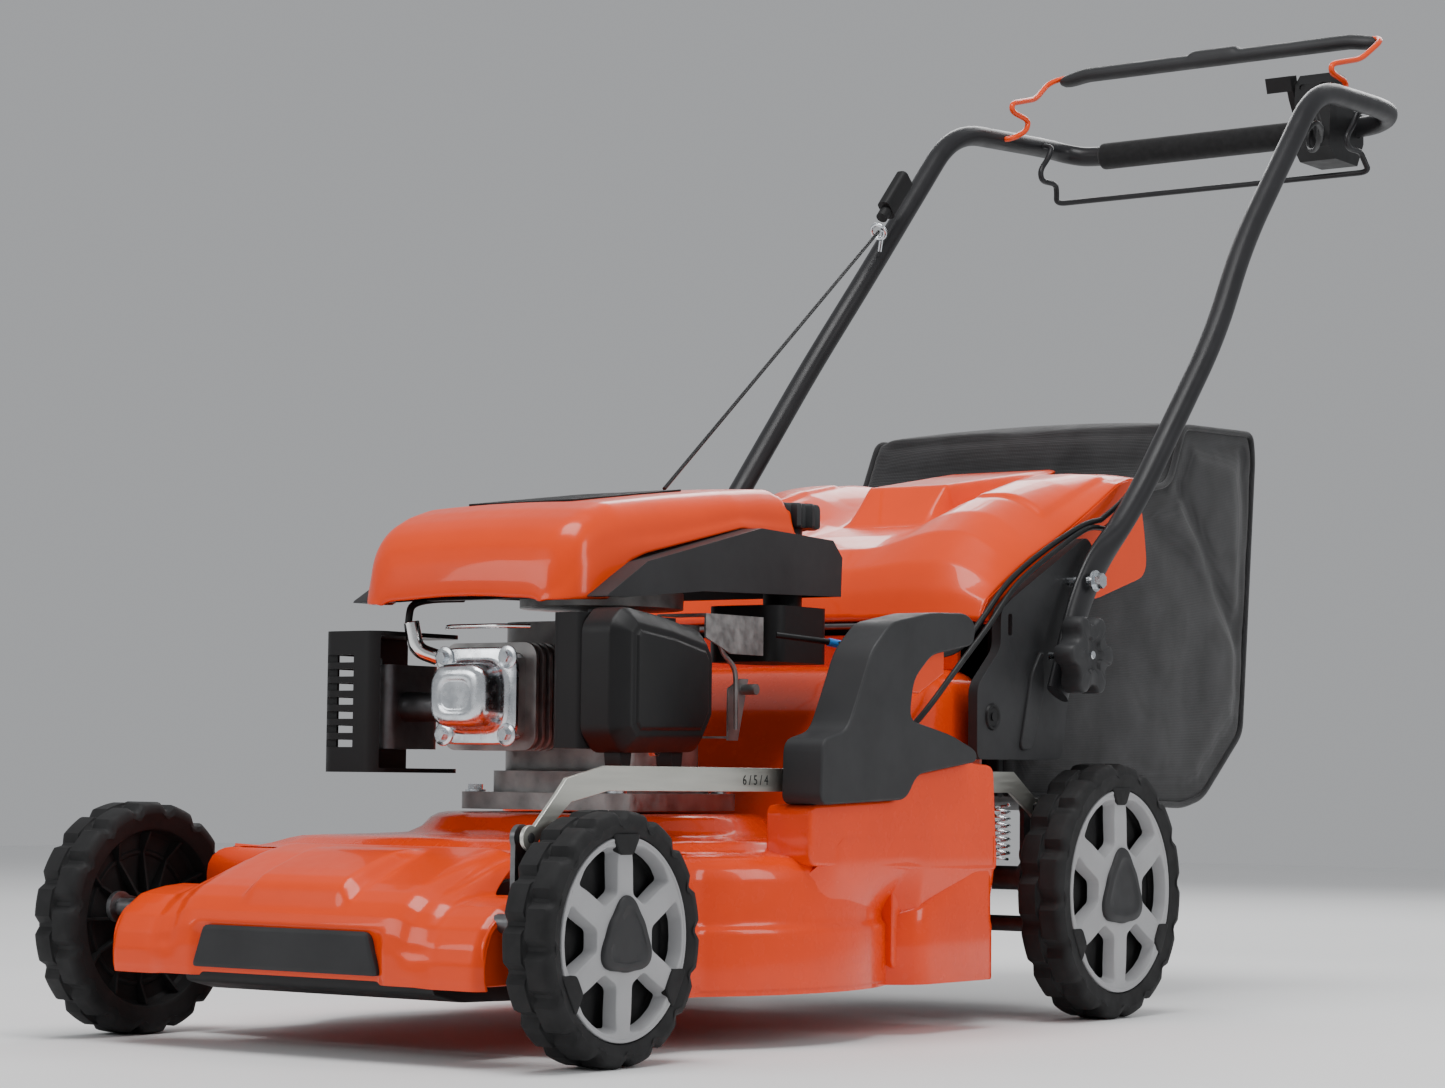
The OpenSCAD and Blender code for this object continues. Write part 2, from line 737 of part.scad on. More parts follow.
module cover_grille() {
  color(black) placed() translate([-61.5, 206, 489]) rotate([cover_slope, 0, 0])
    translate([0, 8.4, -4]) difference() {
      cube([123, 169.2, 4]);
      for (i = [0 : 11]) translate([6, 8 + i * 13, -1]) cube([111, 7, 6]);
    }
}

// ---------------------------------------------------------------- wheels

// A wheel whose axis is X, centred on its axle, with its outer face at x = 0
module wheel(r, rim_r, bore) {
  rotate([0, -90, 0]) rotate_extrude($fn = 96) polygon([
    [bore, tyre_w - 3], [17, tyre_w - 3], [17, 26], [rim_r - 6, 26],
    [rim_r - 6, tyre_w - 2], [r - 8, tyre_w], [r, tyre_w - 8], [r, 8], [r - 8, 0],
    [rim_r + 0.3, 3], [rim_r + 0.3, 12], [rim_r - 6, 12], [rim_r - 6, 21], [17, 21], [17, 14],
    [bore, 14]
  ]);
}

// The hollow of the ring gear inside a rear wheel, less its teeth
module gear_hollow() {
  pr = ring_teeth * gear_m / 2;
  half = 90 / ring_teeth;
  w = half * 0.82;
  tip = pr - 0.75 * gear_m;
  root = pr + gear_m;
  polygon([
    for (i = [0 : ring_teeth - 1])
      let (a = 360 * i / ring_teeth)
      each [
        root * [cos(a - 2 * half + w * 1.35), sin(a - 2 * half + w * 1.35)],
        tip * [cos(a - w * 0.5), sin(a - w * 0.5)],
        tip * [cos(a + w * 0.5), sin(a + w * 0.5)],
        root * [cos(a + 2 * half - w * 1.35), sin(a + 2 * half - w * 1.35)]
      ]
  ]);
}

module wheel_trim(rim_r) {
  rotate([0, -90, 0]) {
    difference() {
      cylinder(h = 8.6, r = rim_r, $fn = 96);
      translate([0, 0, 3.5]) cylinder(h = 10, r = rim_r - 3, $fn = 96);
      for (i = [0 : 5]) rotate(60 * i) translate([rim_r * 0.68, 0, -1])
        linear_extrude(8) polygon([
          [-0.2 * rim_r, 0], [-0.05 * rim_r, -0.16 * rim_r], [0.18 * rim_r, -0.19 * rim_r],
          [0.24 * rim_r, 0], [0.18 * rim_r, 0.19 * rim_r], [-0.05 * rim_r, 0.16 * rim_r]
        ]);
    }
    translate([0, 0, -4.3]) cylinder(h = 4, r = rim_r * 0.42);
  }
}

module front_wheel_left() {
  color(black) placed() translate([front_track, front_hub[0], front_hub[1]])
    wheel(front_tyre_r, 84.5, axle_r + run);
}

module front_wheel_right() {
  color(black) placed() mirror([1, 0, 0]) translate([front_track, front_hub[0], front_hub[1]])
    wheel(front_tyre_r, 84.5, axle_r + run);
}

module rear_wheel() {
  translate([rear_track, rear_hub[0], rear_hub[1]]) wheel(rear_tyre_r, 102, axle_r + run);
  translate([0, rear_hub[0], rear_hub[1]]) plate(rear_track - tyre_w + 3, rear_track - 25)
    difference() {
      circle(97, $fn = 96);
      rotate(mesh_a + 180 / ring_teeth) gear_hollow();
    }
}

module rear_wheel_left() {
  color(black) placed() rear_wheel();
}

module rear_wheel_right() {
  color(black) placed() mirror([1, 0, 0]) rear_wheel();
}

module front_wheel_cover_left() {
  color("silver") placed() translate([front_track - 3, front_hub[0], front_hub[1]])
    wheel_trim(84);
}

module front_wheel_cover_right() {
  color("silver") placed() mirror([1, 0, 0])
    translate([front_track - 3, front_hub[0], front_hub[1]]) wheel_trim(84);
}

module rear_wheel_cover_left() {
  color("silver") placed() translate([rear_track - 3, rear_hub[0], rear_hub[1]])
    wheel_trim(101.5);
}

module rear_wheel_cover_right() {
  color("silver") placed() mirror([1, 0, 0])
    translate([rear_track - 3, rear_hub[0], rear_hub[1]]) wheel_trim(101.5);
}

// ---------------------------------------------------------------- handle

function other(p) = [-p[0], p[1], p[2]];

module handle_tube() {
  whole = concat(arm, [for (i = [len(arm) - 1 : -1 : 0]) other(arm[i])]);
  color(black) placed() difference() {
    bent_bar(whole, tube_r, 60, 20);
    both_sides() {
      bar(240, 290, fold_pivot, 5 + run);
      bar(240, 290, knob_at, 4 + run);
      bar(220, 270, ops_pivot, wire_r + run);
      bar(220, 270, drive_pivot, wire_r + run);
    }
  }
}

module grip_sleeve() {
  color(black) placed() difference() {
    union() {
      bar(-120, 120, [grip_y, grip_z], grip_r);
      bar(-180, housing_x - gap, [grip_y, grip_z], grip_r - 1);
    }
    bar(-200, 200, [grip_y, grip_z], tube_r + run);
  }
}

module handle_hardware() {
  color(steel) placed() {
    both_sides() {
      bar(236.5, 284, fold_pivot, 5);
      bar(277, 279, fold_pivot, 11);
      translate([279, fold_pivot[0], fold_pivot[1]]) rotate([0, 90, 0])
        cylinder(h = 8, r = 8, $fn = 6);
    }
    // Rope guide: a hoop on a stalk
    translate(rope_to) rotate([-60, 0, 0]) rotate_extrude()
      translate([9, 0]) circle(2.4, $fn = 16);
    segment(rope_to + [0, 9, 4], [-239.6, 1190, 874], 2.4);
  }
  // Cable clips on the left arm
  color(black) placed() for (p = [[240.6, 1222, 890], [252.8, 1064, 700], [250.2, 966, 592]])
    translate(p) rotate([-45, 0, 0]) translate([-4, 15, -10]) cube([10, 6, 22]);
}

module knob() {
  translate([277, knob_at[0], knob_at[1]]) rotate([0, 90, 0]) difference() {
    union() {
      cylinder(h = 8, r = 27);
      cylinder(h = 24, r = 34);
      for (i = [0 : 5]) rotate(60 * i) translate([33, 0, 5]) cylinder(h = 19, r = 11);
    }
    for (i = [0 : 5]) rotate(60 * i + 30) translate([47, 0, -1]) cylinder(h = 30, r = 12);
  }
  bar(250, 278, knob_at, 4);
}

module knob_left() {
  color(charcoal) placed() knob();
}

module knob_right() {
  color(charcoal) placed() mirror([1, 0, 0]) knob();
}

module control_housing() {
  color(black) placed() difference() {
    plate(housing_x, housing_x + 48) polygon([
      [1566, 1004], [1548, 1018], [1552, 1098], [1566, 1112], [1594, 1110], [1606, 1086],
      [1611, 1072], [1646, 1070], [1646, 1034], [1628, 1004]
    ]);
    bar(120, 200, [grip_y, grip_z], tube_r + run);
    bar(housing_x - 1, 160, lever_pivot, 12 + run);
    for (x = [144, 172], z = [1028, 1094]) translate([x, 1530, z]) rotate([-90, 0, 0])
      cylinder(h = 24, r = 4);
  }
}

module throttle_lever() {
  color(black) placed() {
    bar(housing_x - 10, 159.5, lever_pivot, 12);
    plate(housing_x - 10, housing_x - 2)
      polygon([[1578, 1048], [1556, 1080], [1548, 1096], [1558, 1106], [1594, 1064]]);
    plate(98, housing_x - 2) polygon([[1548, 1090], [1542, 1108], [1560, 1112], [1564, 1098]]);
  }
}

// The wires of both bails have a loop beside each arm, and turn in holes through the tube
ops_side = [
  [247, ops_pivot[0], ops_pivot[1]], [222, ops_pivot[0], ops_pivot[1]], [222, 1506, 1070],
  [222, 1512, 1085], [222, 1470, 1089], [222, 1470, 1100], [228, 1540, 1118], [234, 1582, 1146]
];

module ops_bail() {
  cross = [[224, 1600, 1155], [-224, 1600, 1155]];
  color(orange) placed() bent_bar(concat(
    ops_side, cross, [for (i = [len(ops_side) - 1 : -1 : 0]) other(ops_side[i])]
  ), wire_r, 10);
}

module bail_grip() {
  color(charcoal) placed() difference() {
    union() {
      plate(-214, 214) polygon([
        [1584, 1150], [1590, 1164], [1606, 1167], [1616, 1158], [1614, 1146], [1598, 1142]
      ]);
      plate(-32, 32) polygon([[1584, 1160], [1586, 1172], [1602, 1173], [1606, 1164]]);
    }
    bar(-260, 260, [1600, 1155], wire_r + run);
  }
}

drive_side = [
  [244, drive_pivot[0], drive_pivot[1]], [214, drive_pivot[0], drive_pivot[1]],
  [214, 1548, 1040], [214, 1528, 1022], [214, 1532, 1008], [214, 1568, 1010],
  [216, 1574, 1000], [220, 1580, 986]
];

module drive_bail() {
  color(black) placed() bent_bar(concat(
    drive_side, [for (i = [len(drive_side) - 1 : -1 : 0]) other(drive_side[i])]
  ), wire_r, 10);
}

module cables_upper() {
  color(black) placed() {
    cord(smooth(upper_a, 2), cable_r);
    cord(smooth(upper_b, 2), cable_r);
  }
}

module cables_lower() {
  color(black) placed() {
    cord(smooth(lower_a, 2), cable_r);
    cord(smooth(lower_b, 2), cable_r);
  }
}

module starter_rope() {
  color(black) placed() cord([rope_from, (rope_from + rope_to) / 2, rope_to], rope_r);
}

module starter_grip() {
  color(black) placed() translate(rope_to + 16 * grip_dir + [0, -4, 6]) rotate([-43, 0, 0]) {
    cylinder(h = 14, r = 7);
    translate([0, 0, 14]) linear_extrude(60) rounded_rect(16, 26, 6);
  }
}

// ---------------------------------------------------------------- flap and bag

module flap() {
  t = 4;
  side = concat(flap_top, [[1086, 588], [1074, 560], [988, 458], [876, 426], [790, 452],
    [700, 404], [668, 386]]);
  inner = concat(
    [for (p = flap_top) p + [3, -t]],
    [[1100, 560], [1074, 500], [988, 420], [876, 400], [780, 400], [690, 380]]
  );
  w = 230;
  color(orange) placed() difference() {
    union() {
      difference() {
        plate(-w, w) polygon(side);
        plate(-w + t, w - t) polygon(inner);
      }
      both_sides() plate(120, 200) {
        translate(flap_pivot) circle(7);
        polygon([[650, 386], [655, 386], [664, 404], [660, 412], [646, 392]]);
      }
    }
    // The crown falls off towards both sides
    both_sides() translate([w, 640, 470]) rotate([17, 0, 0]) rotate([0, 32, 0])
      translate([-90, 0, 60]) cube([180, 500, 100]);
    bar(-w - 5, w + 5, flap_pivot, hinge_r + run);
  }
}

bag_side = [
  [742, 220], [1130, 208], [1178, 218], [1274, 292], [1307, 618], [1290, 640], [1130, 636],
  [1096, 570], [1000, 552], [860, 510], [742, 420]
];
bag_inside = [
  [730, 224], [1129, 212], [1177, 221], [1270, 294], [1303, 617], [1289, 636], [1132, 632],
  [1098, 567], [1001, 548], [861, 506], [730, 410]
];

module grass_bag() {
  color(black) placed() difference() {
    plate(-205, 205) polygon(bag_side);
    plate(-201, 201) polygon(bag_inside);
  }
}

module bag_frame() {
  color(charcoal) placed() difference() {
    plate(-205, 205) polygon([[732, 222], [741.7, 220], [741.7, 412], [732, 404]]);
    plate(-190, 190) polygon([[720, 236], [760, 236], [760, 390], [720, 390]]);
  }
}

deck_shell();
front_shroud();
bumper_panel();
side_bracket_left();
side_bracket_right();
lift_grip();
latch_button();
link_bar();
front_axle();
rear_axle();
lift_spring();
gearbox();
gearbox_pulley();
drive_shaft();
drive_belt();
crankshaft();
flywheel();
blade_adapter();
blade();
crankcase();
cylinder_head();
valve_cover();
engine_bolts();
spark_plug_lead();
muffler();
muffler_guard();
air_filter_box();
air_filter_cover();
carburetor();
fuel_tank();
fuel_cap();
oil_dipstick();
blower_housing();
engine_cover();
cover_grille();
front_wheel_left();
front_wheel_right();
rear_wheel_left();
rear_wheel_right();
front_wheel_cover_left();
front_wheel_cover_right();
rear_wheel_cover_left();
rear_wheel_cover_right();
handle_tube();
grip_sleeve();
handle_hardware();
knob_left();
knob_right();
control_housing();
throttle_lever();
ops_bail();
bail_grip();
drive_bail();
cables_upper();
cables_lower();
starter_rope();
starter_grip();
flap();
bag_frame();
grass_bag();
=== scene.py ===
# The looks of the lawn mower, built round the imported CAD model.
# Lengths in the making functions are millimetres, with y counted from the front axle;
# at() turns them into the frame's metres.
import json
import math

import bmesh
import bpy
import numpy as np
from mathutils import Matrix, Vector, noise


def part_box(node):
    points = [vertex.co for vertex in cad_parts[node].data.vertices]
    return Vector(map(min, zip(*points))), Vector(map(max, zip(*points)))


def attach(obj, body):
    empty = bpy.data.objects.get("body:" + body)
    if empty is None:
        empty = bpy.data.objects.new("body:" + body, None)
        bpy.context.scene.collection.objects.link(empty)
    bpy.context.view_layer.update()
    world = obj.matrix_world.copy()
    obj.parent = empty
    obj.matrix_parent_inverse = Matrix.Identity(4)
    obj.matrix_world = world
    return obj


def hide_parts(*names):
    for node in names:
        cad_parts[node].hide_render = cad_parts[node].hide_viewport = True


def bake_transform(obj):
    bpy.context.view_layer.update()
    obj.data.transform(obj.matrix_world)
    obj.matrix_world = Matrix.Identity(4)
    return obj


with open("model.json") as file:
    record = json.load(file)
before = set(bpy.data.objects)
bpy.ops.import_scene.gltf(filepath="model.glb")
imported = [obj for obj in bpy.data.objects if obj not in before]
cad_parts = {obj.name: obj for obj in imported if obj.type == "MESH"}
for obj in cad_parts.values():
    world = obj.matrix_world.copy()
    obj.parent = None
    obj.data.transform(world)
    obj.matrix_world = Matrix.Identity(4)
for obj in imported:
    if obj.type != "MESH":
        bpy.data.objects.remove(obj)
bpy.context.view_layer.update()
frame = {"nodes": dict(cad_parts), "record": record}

MM = 0.001
TAU = 2 * math.pi


def middle(node):
    lo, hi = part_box(node)
    return (lo + hi) / 2


AXLE_Y = middle("front_wheel_left").y


def at(x, y, z):
    return Vector((x * MM, y * MM + AXLE_Y, z * MM))


def in_mm(p):
    """The opposite of at()."""
    return p.x / MM, (p.y - AXLE_Y) / MM, p.z / MM


def blend_in(t):
    """0 below 0, 1 above 1, and smooth between."""
    t = min(1.0, max(0.0, t))
    return t * t * (3 - 2 * t)


def along(points, t):
    """The value at t on a line through (t, value) pairs."""
    return float(np.interp(t, [p[0] for p in points], [p[1] for p in points]))


# ---------------------------------------------------------------- camera, light and floor


def camera():
    """The eye stands low off the front left corner and looks a little up, with a slight roll."""
    place = Vector((1.9666, -2.2073 + AXLE_Y, 0.2378))
    yaw, pitch, roll = math.radians(35.63), math.radians(3.95), math.radians(0.63)
    ahead = Vector((-math.sin(yaw) * math.cos(pitch), math.cos(yaw) * math.cos(pitch), math.sin(pitch)))
    right = Vector((math.cos(yaw), math.sin(yaw), 0))
    up = right.cross(ahead)
    turned = right * math.cos(roll) + up * math.sin(roll)
    up = turned.cross(ahead)
    data = bpy.data.cameras.new("camera")
    data.sensor_width = 36
    data.lens = 84.2
    data.clip_start, data.clip_end = 0.05, 60
    eye = bpy.data.objects.new("camera", data)
    eye.matrix_world = Matrix((turned, up, -ahead)).transposed().to_4x4()
    eye.location = place
    bpy.context.scene.collection.objects.link(eye)
    bpy.context.scene.camera = eye


def softbox(name, place, target, size, watts):
    data = bpy.data.lights.new(name, "AREA")
    data.shape = "RECTANGLE"
    data.size, data.size_y = size
    data.energy = watts
    lamp = bpy.data.objects.new(name, data)
    lamp.location = place
    aim = Vector(target) - Vector(place)
    lamp.rotation_mode = "QUATERNION"
    lamp.rotation_quaternion = aim.to_track_quat("-Z", "Y")
    bpy.context.scene.collection.objects.link(lamp)


def studio():
    world = bpy.data.worlds.new("studio")
    world.use_nodes = True
    sky = world.node_tree.nodes["Background"].inputs
    sky["Color"].default_value = (0.95, 0.97, 1, 1)
    sky["Strength"].default_value = 0.42
    bpy.context.scene.world = world
    softbox("key", (0.4, -0.9, 3.4), (0, 0, 0.3), (2.2, 1.6), 92)
    softbox("left_fill", (3.2, 0.3, 1.7), (0, 0, 0.4), (1.0, 1.8), 30)
    softbox("front_fill", (-1.4, -3.4, 1.6), (0, -0.3, 0.3), (1.8, 1.0), 24)
    softbox("back_rim", (-1.0, 3.0, 2.4), (0, 0.4, 0.6), (2.6, 1.2), 55)
    floor = piece("floor", *grid_patch(6, 6, lambda u, v: Vector((12 * u - 6, 12 * v - 6, 0))), FLOOR)


# ---------------------------------------------------------------- materials


NOISE_SPAN = (0.3, 0.7)  # most of a noise texture's values lie between these


class Surface:
    """A principled material whose colour, roughness and bump come from textures in the frame's metres."""

    def __init__(self, name, colour, metallic=0.0, coat=0.0, coat_rough=0.03, sheen=0.0, specular=0.5):
        self.material = bpy.data.materials.new(name)
        self.material.use_nodes = True
        self.nodes = self.material.node_tree.nodes
        self.links = self.material.node_tree.links
        self.shader = self.nodes["Principled BSDF"]
        self.colour = colour
        self.where = self.nodes.new("ShaderNodeTexCoord").outputs["Object"]
        self.height = None
        for socket, value in {
            "Metallic": metallic, "Coat Weight": coat, "Coat Roughness": coat_rough, "Sheen Weight": sheen,
            "Specular IOR Level": specular,
        }.items():
            self.shader.inputs[socket].default_value = value

    def added(self, kind, values, links):
        """A new node, with its sockets' values and the outputs that feed them."""
        node = self.nodes.new("ShaderNode" + kind)
        for socket, value in values.items():
            node.inputs[socket].default_value = value
        for socket, source in links.items():
            self.links.new(source, node.inputs[socket])
        return node

    def noise(self, size_mm, detail=3.0, stretch=None):
        """Noise whose features are about size_mm across; stretch scales them along x, y and z."""
        where = self.where
        if stretch:
            where = self.added("Mapping", {"Scale": stretch}, {"Vector": where}).outputs["Vector"]
        values = {"Scale": 1 / (size_mm * MM), "Detail": detail}
        return self.added("TexNoise", values, {"Vector": where}).outputs["Fac"]

    def wave(self, direction, pitch_mm):
        """Threads across a direction, one every pitch_mm."""
        node = self.added("TexWave", {"Scale": TAU / (20 * pitch_mm * MM)}, {"Vector": self.where})
        node.bands_direction = direction
        node.wave_profile = "SIN"
        return node.outputs["Fac"]

    def math(self, kind, a, b):
        node = self.nodes.new("ShaderNodeMath")
        node.operation = kind
        for socket, value in zip(node.inputs, (a, b)):
            if isinstance(value, (int, float)):
                socket.default_value = value
            else:
                self.links.new(value, socket)
        return node.outputs["Value"]

    def tones(self, value, darker, lighter):
        """The colour, from darker to lighter shares of it as value goes from low to high."""
        ramp = self.nodes.new("ShaderNodeValToRGB")
        ends = zip(ramp.color_ramp.elements, (darker, lighter), NOISE_SPAN)
        for element, share, position in ends:
            element.color = (*[min(1.0, c * share) for c in self.colour], 1)
            element.position = position
        self.links.new(value, ramp.inputs["Fac"])
        self.links.new(ramp.outputs["Color"], self.shader.inputs["Base Color"])

    def rough(self, value, low, high):
        values = {"From Min": NOISE_SPAN[0], "From Max": NOISE_SPAN[1], "To Min": low, "To Max": high}
        mapped = self.added("MapRange", values, {"Value": value}).outputs["Result"]
        self.links.new(mapped, self.shader.inputs["Roughness"])

    def bump(self, value, depth_mm, strength=1.0):
        """Relief on top of the relief that is there already."""
        under = {} if self.height is None else {"Normal": self.height}
        values = {"Distance": depth_mm * MM, "Strength": strength}
        self.height = self.added("Bump", values, {"Height": value, **under}).outputs["Normal"]
        self.links.new(self.height, self.shader.inputs["Normal"])


def paint(name, colour, rough=(0.22, 0.3), coat=0.42, peel=0.012):
    """Gloss paint or moulding with a faint orange peel and slow changes of tone."""
    s = Surface(name, colour, coat=coat, coat_rough=0.04, specular=0.22)
    s.tones(s.noise(90), 0.95, 1.05)
    s.rough(s.noise(14), *rough)
    s.bump(s.noise(2.2, 1), peel)
    return s.material


def moulded(name, colour, rough=(0.45, 0.6), grain=0.03, size=0.7, dust=1.18):
    """Plastic with a fine spark-eroded grain, and a little paler where it is rubbed."""
    s = Surface(name, colour, specular=0.3)
    s.tones(s.noise(60, 5), 0.9, dust)
    s.rough(s.noise(22, 4), *rough)
    s.bump(s.noise(size, 2), grain)
    return s.material


def metal(name, colour, rough, size=2.0, stretch=None, depth=0.01, darker=0.85, lighter=1.1):
    s = Surface(name, colour, metallic=1.0)
    s.tones(s.noise(size * 8, 4, stretch), darker, lighter)
    s.rough(s.noise(size * 3, 3, stretch), *rough)
    s.bump(s.noise(size, 3, stretch), depth)
    return s.material


def casting(name, colour):
    """Sand-rough die casting: mottled, with small pits."""
    s = Surface(name, colour, metallic=0.85)
    s.tones(s.noise(18, 6), 0.62, 1.2)
    s.rough(s.noise(9, 4), 0.38, 0.62)
    s.bump(s.noise(3.5, 5), 0.25, 0.7)
    s.bump(s.noise(0.9, 2), 0.08, 0.6)
    return s.material


def rubber(name, colour, rough=(0.62, 0.78)):
    s = Surface(name, colour, specular=0.28)
    s.tones(s.noise(30, 5), 0.8, 1.3)
    s.rough(s.noise(12, 4), *rough)
    s.bump(s.noise(1.2, 3), 0.08, 0.6)
    return s.material


def weave(name, colour, pitch=2.2):
    """Open polyester weave: threads along all three axes, so each face shows two of them."""
    s = Surface(name, colour, sheen=0.25, specular=0.3)
    threads = s.math("ADD", s.math("ADD", s.wave("X", pitch), s.wave("Y", pitch)), s.wave("Z", pitch * 0.8))
    share = s.math("MULTIPLY", threads, 0.3333)
    uneven = s.math("MULTIPLY", s.noise(26, 4), 0.5)
    s.tones(s.math("ADD", s.math("MULTIPLY", share, 0.5), uneven), 0.55, 1.9)
    s.rough(s.noise(40, 3), 0.7, 0.9)
    s.bump(share, 0.5, 0.7)
    s.bump(s.noise(45, 3), 1.2, 0.35)
    return s.material


def foam(name, colour):
    s = Surface(name, colour, specular=0.25, sheen=0.15)
    s.tones(s.noise(7, 4), 0.8, 1.35)
    s.rough(s.noise(9, 2), 0.75, 0.92)
    s.bump(s.noise(1.0, 3), 0.25, 0.8)
    return s.material


def floor_material():
    s = Surface("studio_floor", (0.86, 0.86, 0.86), specular=0.2)
    s.tones(s.noise(900, 2), 0.99, 1.01)
    s.rough(s.noise(300, 2), 0.55, 0.65)
    return s.material


ORANGE = paint("orange_paint", (0.84, 0.052, 0.0005))
ORANGE_MOULDING = paint("orange_moulding", (0.85, 0.056, 0.0005), (0.28, 0.36), 0.32, 0.016)
ORANGE_WIRE = paint("orange_wire_coat", (0.78, 0.06, 0.002), (0.3, 0.4), 0.3, 0.03)
CHARCOAL = moulded("charcoal_moulding", (0.026, 0.0265, 0.028))
BLACK = moulded("black_moulding", (0.007, 0.007, 0.0075), (0.4, 0.54))
TUBE = moulded("satin_tube_coat", (0.016, 0.016, 0.0175), (0.3, 0.4), 0.012, 0.9)
WHEEL_GREY = moulded("grey_moulding", (0.36, 0.362, 0.37), (0.4, 0.52), 0.02, 0.8, 1.06)
TYRE = rubber("tyre_rubber", (0.013, 0.013, 0.0135))
CABLE = rubber("cable_jacket", (0.008, 0.008, 0.0085), (0.35, 0.5))
FOAM = foam("foam_sleeve", (0.009, 0.009, 0.0095))
FABRIC = weave("woven_polyester", (0.011, 0.011, 0.012))
TAPE = weave("edge_tape", (0.013, 0.013, 0.014), 1.4)
ZINC = metal("bright_zinc", (0.72, 0.75, 0.78), (0.16, 0.32), 3, None, 0.02, 0.82, 1.12)
LINK = metal("pale_zinc_strip", (0.60, 0.60, 0.55), (0.38, 0.5), 1.2, (1, 0.06, 1), 0.01, 0.93, 1.05)
STEEL = metal("dark_steel", (0.16, 0.16, 0.165), (0.35, 0.55), 2)
CHROME = metal("bright_lever_steel", (0.80, 0.80, 0.80), (0.08, 0.2), 4, None, 0.008, 0.9, 1.05)
CAST = casting("cast_alloy", (0.36, 0.355, 0.35))
INK = moulded("black_marking", (0.02, 0.02, 0.02))
BLUE = moulded("blue_band", (0.02, 0.20, 0.62))
FLOOR = floor_material()

SLOTS = {
    "orange_paint": ORANGE, "orange_plastic": ORANGE_MOULDING, "orange_wire": ORANGE_WIRE,
    "charcoal_plastic": CHARCOAL, "black_plastic": BLACK, "black_tube": TUBE, "wheel_grey": WHEEL_GREY,
    "tyre_rubber": TYRE, "cable_black": CABLE, "foam_grip": FOAM, "bag_fabric": FABRIC, "zinc": ZINC,
    "link_steel": LINK, "dark_steel": STEEL, "cast_alloy": CAST,
}
SLOT_OF = {material.name: slot for slot, material in SLOTS.items()}
SLOT_OF.update({CHROME.name: "zinc", BLUE.name: "cable_black", TAPE.name: "bag_fabric"})
SIDES = ((1, "left"), (-1, "right"))

# ---------------------------------------------------------------- making meshes


def piece(name, points, faces, material, body=None, stands_for=(), smooth=35.0):
    """A mesh object from points in metres. Edges sharper than smooth degrees stay sharp."""
    mesh = bpy.data.meshes.new(name)
    mesh.from_pydata([tuple(p) for p in points], [], faces)
    mesh.validate()
    work = bmesh.new()
    work.from_mesh(mesh)
    bmesh.ops.remove_doubles(work, verts=work.verts, dist=1e-6)
    bmesh.ops.recalc_face_normals(work, faces=work.faces)
    work.to_mesh(mesh)
    work.free()
    shade_smooth(mesh, smooth)
    mesh.materials.append(material)
    thing = bpy.data.objects.new(name, mesh)
    bpy.context.scene.collection.objects.link(thing)
    if body:
        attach(thing, body)
    if stands_for:
        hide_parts(*stands_for)
    return thing


def shade_smooth(mesh, sharp_degrees=180.0):
    mesh.polygons.foreach_set("use_smooth", [True] * len(mesh.polygons))
    if sharp_degrees < 180:
        mesh.set_sharp_from_angle(angle=math.radians(sharp_degrees))


def softened(thing, width_mm, segments=3, angle=30.0):
    """Rounds the edges of a piece that are sharper than angle."""
    bevel = thing.modifiers.new("edges", "BEVEL")
    bevel.width = width_mm * MM
    bevel.segments = segments
    bevel.limit_method = "ANGLE"
    bevel.angle_limit = math.radians(angle)
    bevel.harden_normals = True
    bevel.use_clamp_overlap = True
    return thing


def thickened(thing, thick_mm):
    """Gives a skin a thickness, inward from its faces."""
    solid = thing.modifiers.new("thickness", "SOLIDIFY")
    solid.thickness = thick_mm * MM
    solid.offset = -1
    solid.use_even_offset = True
    return thing


def rounded_more(thing):
    sub = thing.modifiers.new("smooth", "SUBSURF")
    sub.levels = sub.render_levels = 1
    return thing


def apply_modifiers(thing):
    """Bakes a piece's modifiers into its mesh."""
    evaluated = thing.evaluated_get(bpy.context.evaluated_depsgraph_get())
    mesh = bpy.data.meshes.new_from_object(evaluated)
    thing.modifiers.clear()
    thing.data = mesh


def cut(thing, tool):
    """Takes a tool's solid out of a piece, and removes the tool."""
    boolean = thing.modifiers.new("cut", "BOOLEAN")
    boolean.operation = "DIFFERENCE"
    boolean.solver = "EXACT"
    boolean.object = tool
    bpy.context.view_layer.update()
    apply_modifiers(thing)
    bpy.data.objects.remove(tool)
    shade_smooth(thing.data, 35)


def grid_patch(columns, rows, point):
    """Points and faces of a grid; point(u, v) has u and v from 0 to 1."""
    across = columns + 1
    points = [point(i / columns, j / rows) for j in range(rows + 1) for i in range(across)]
    corners = [j * across + i for j in range(rows) for i in range(columns)]
    return points, [(a, a + 1, a + 1 + across, a + across) for a in corners]


def joined(*parts):
    """Several (points, faces) as one."""
    points, faces = [], []
    for more_points, more_faces in parts:
        base = len(points)
        points += list(more_points)
        faces += [tuple(base + i for i in f) for f in more_faces]
    return points, faces


def loft(loops, start=True, end=True):
    """Closed loops of equal length joined into a skin, with flat ends."""
    n = len(loops[0])
    points = [p for loop in loops for p in loop]
    faces = []
    for j in range(len(loops) - 1):
        for i in range(n):
            a, b = j * n + i, j * n + (i + 1) % n
            faces.append((a, b, b + n, a + n))
    if start:
        faces.append(tuple(range(n - 1, -1, -1)))
    if end:
        faces.append(tuple(range(len(points) - n, len(points))))
    return points, faces


def slab(outline, x0, x1):
    """An outline of (y, z) in millimetres, from x0 to x1."""
    return loft([[at(x, y, z) for y, z in outline] for x in (x0, x1)])


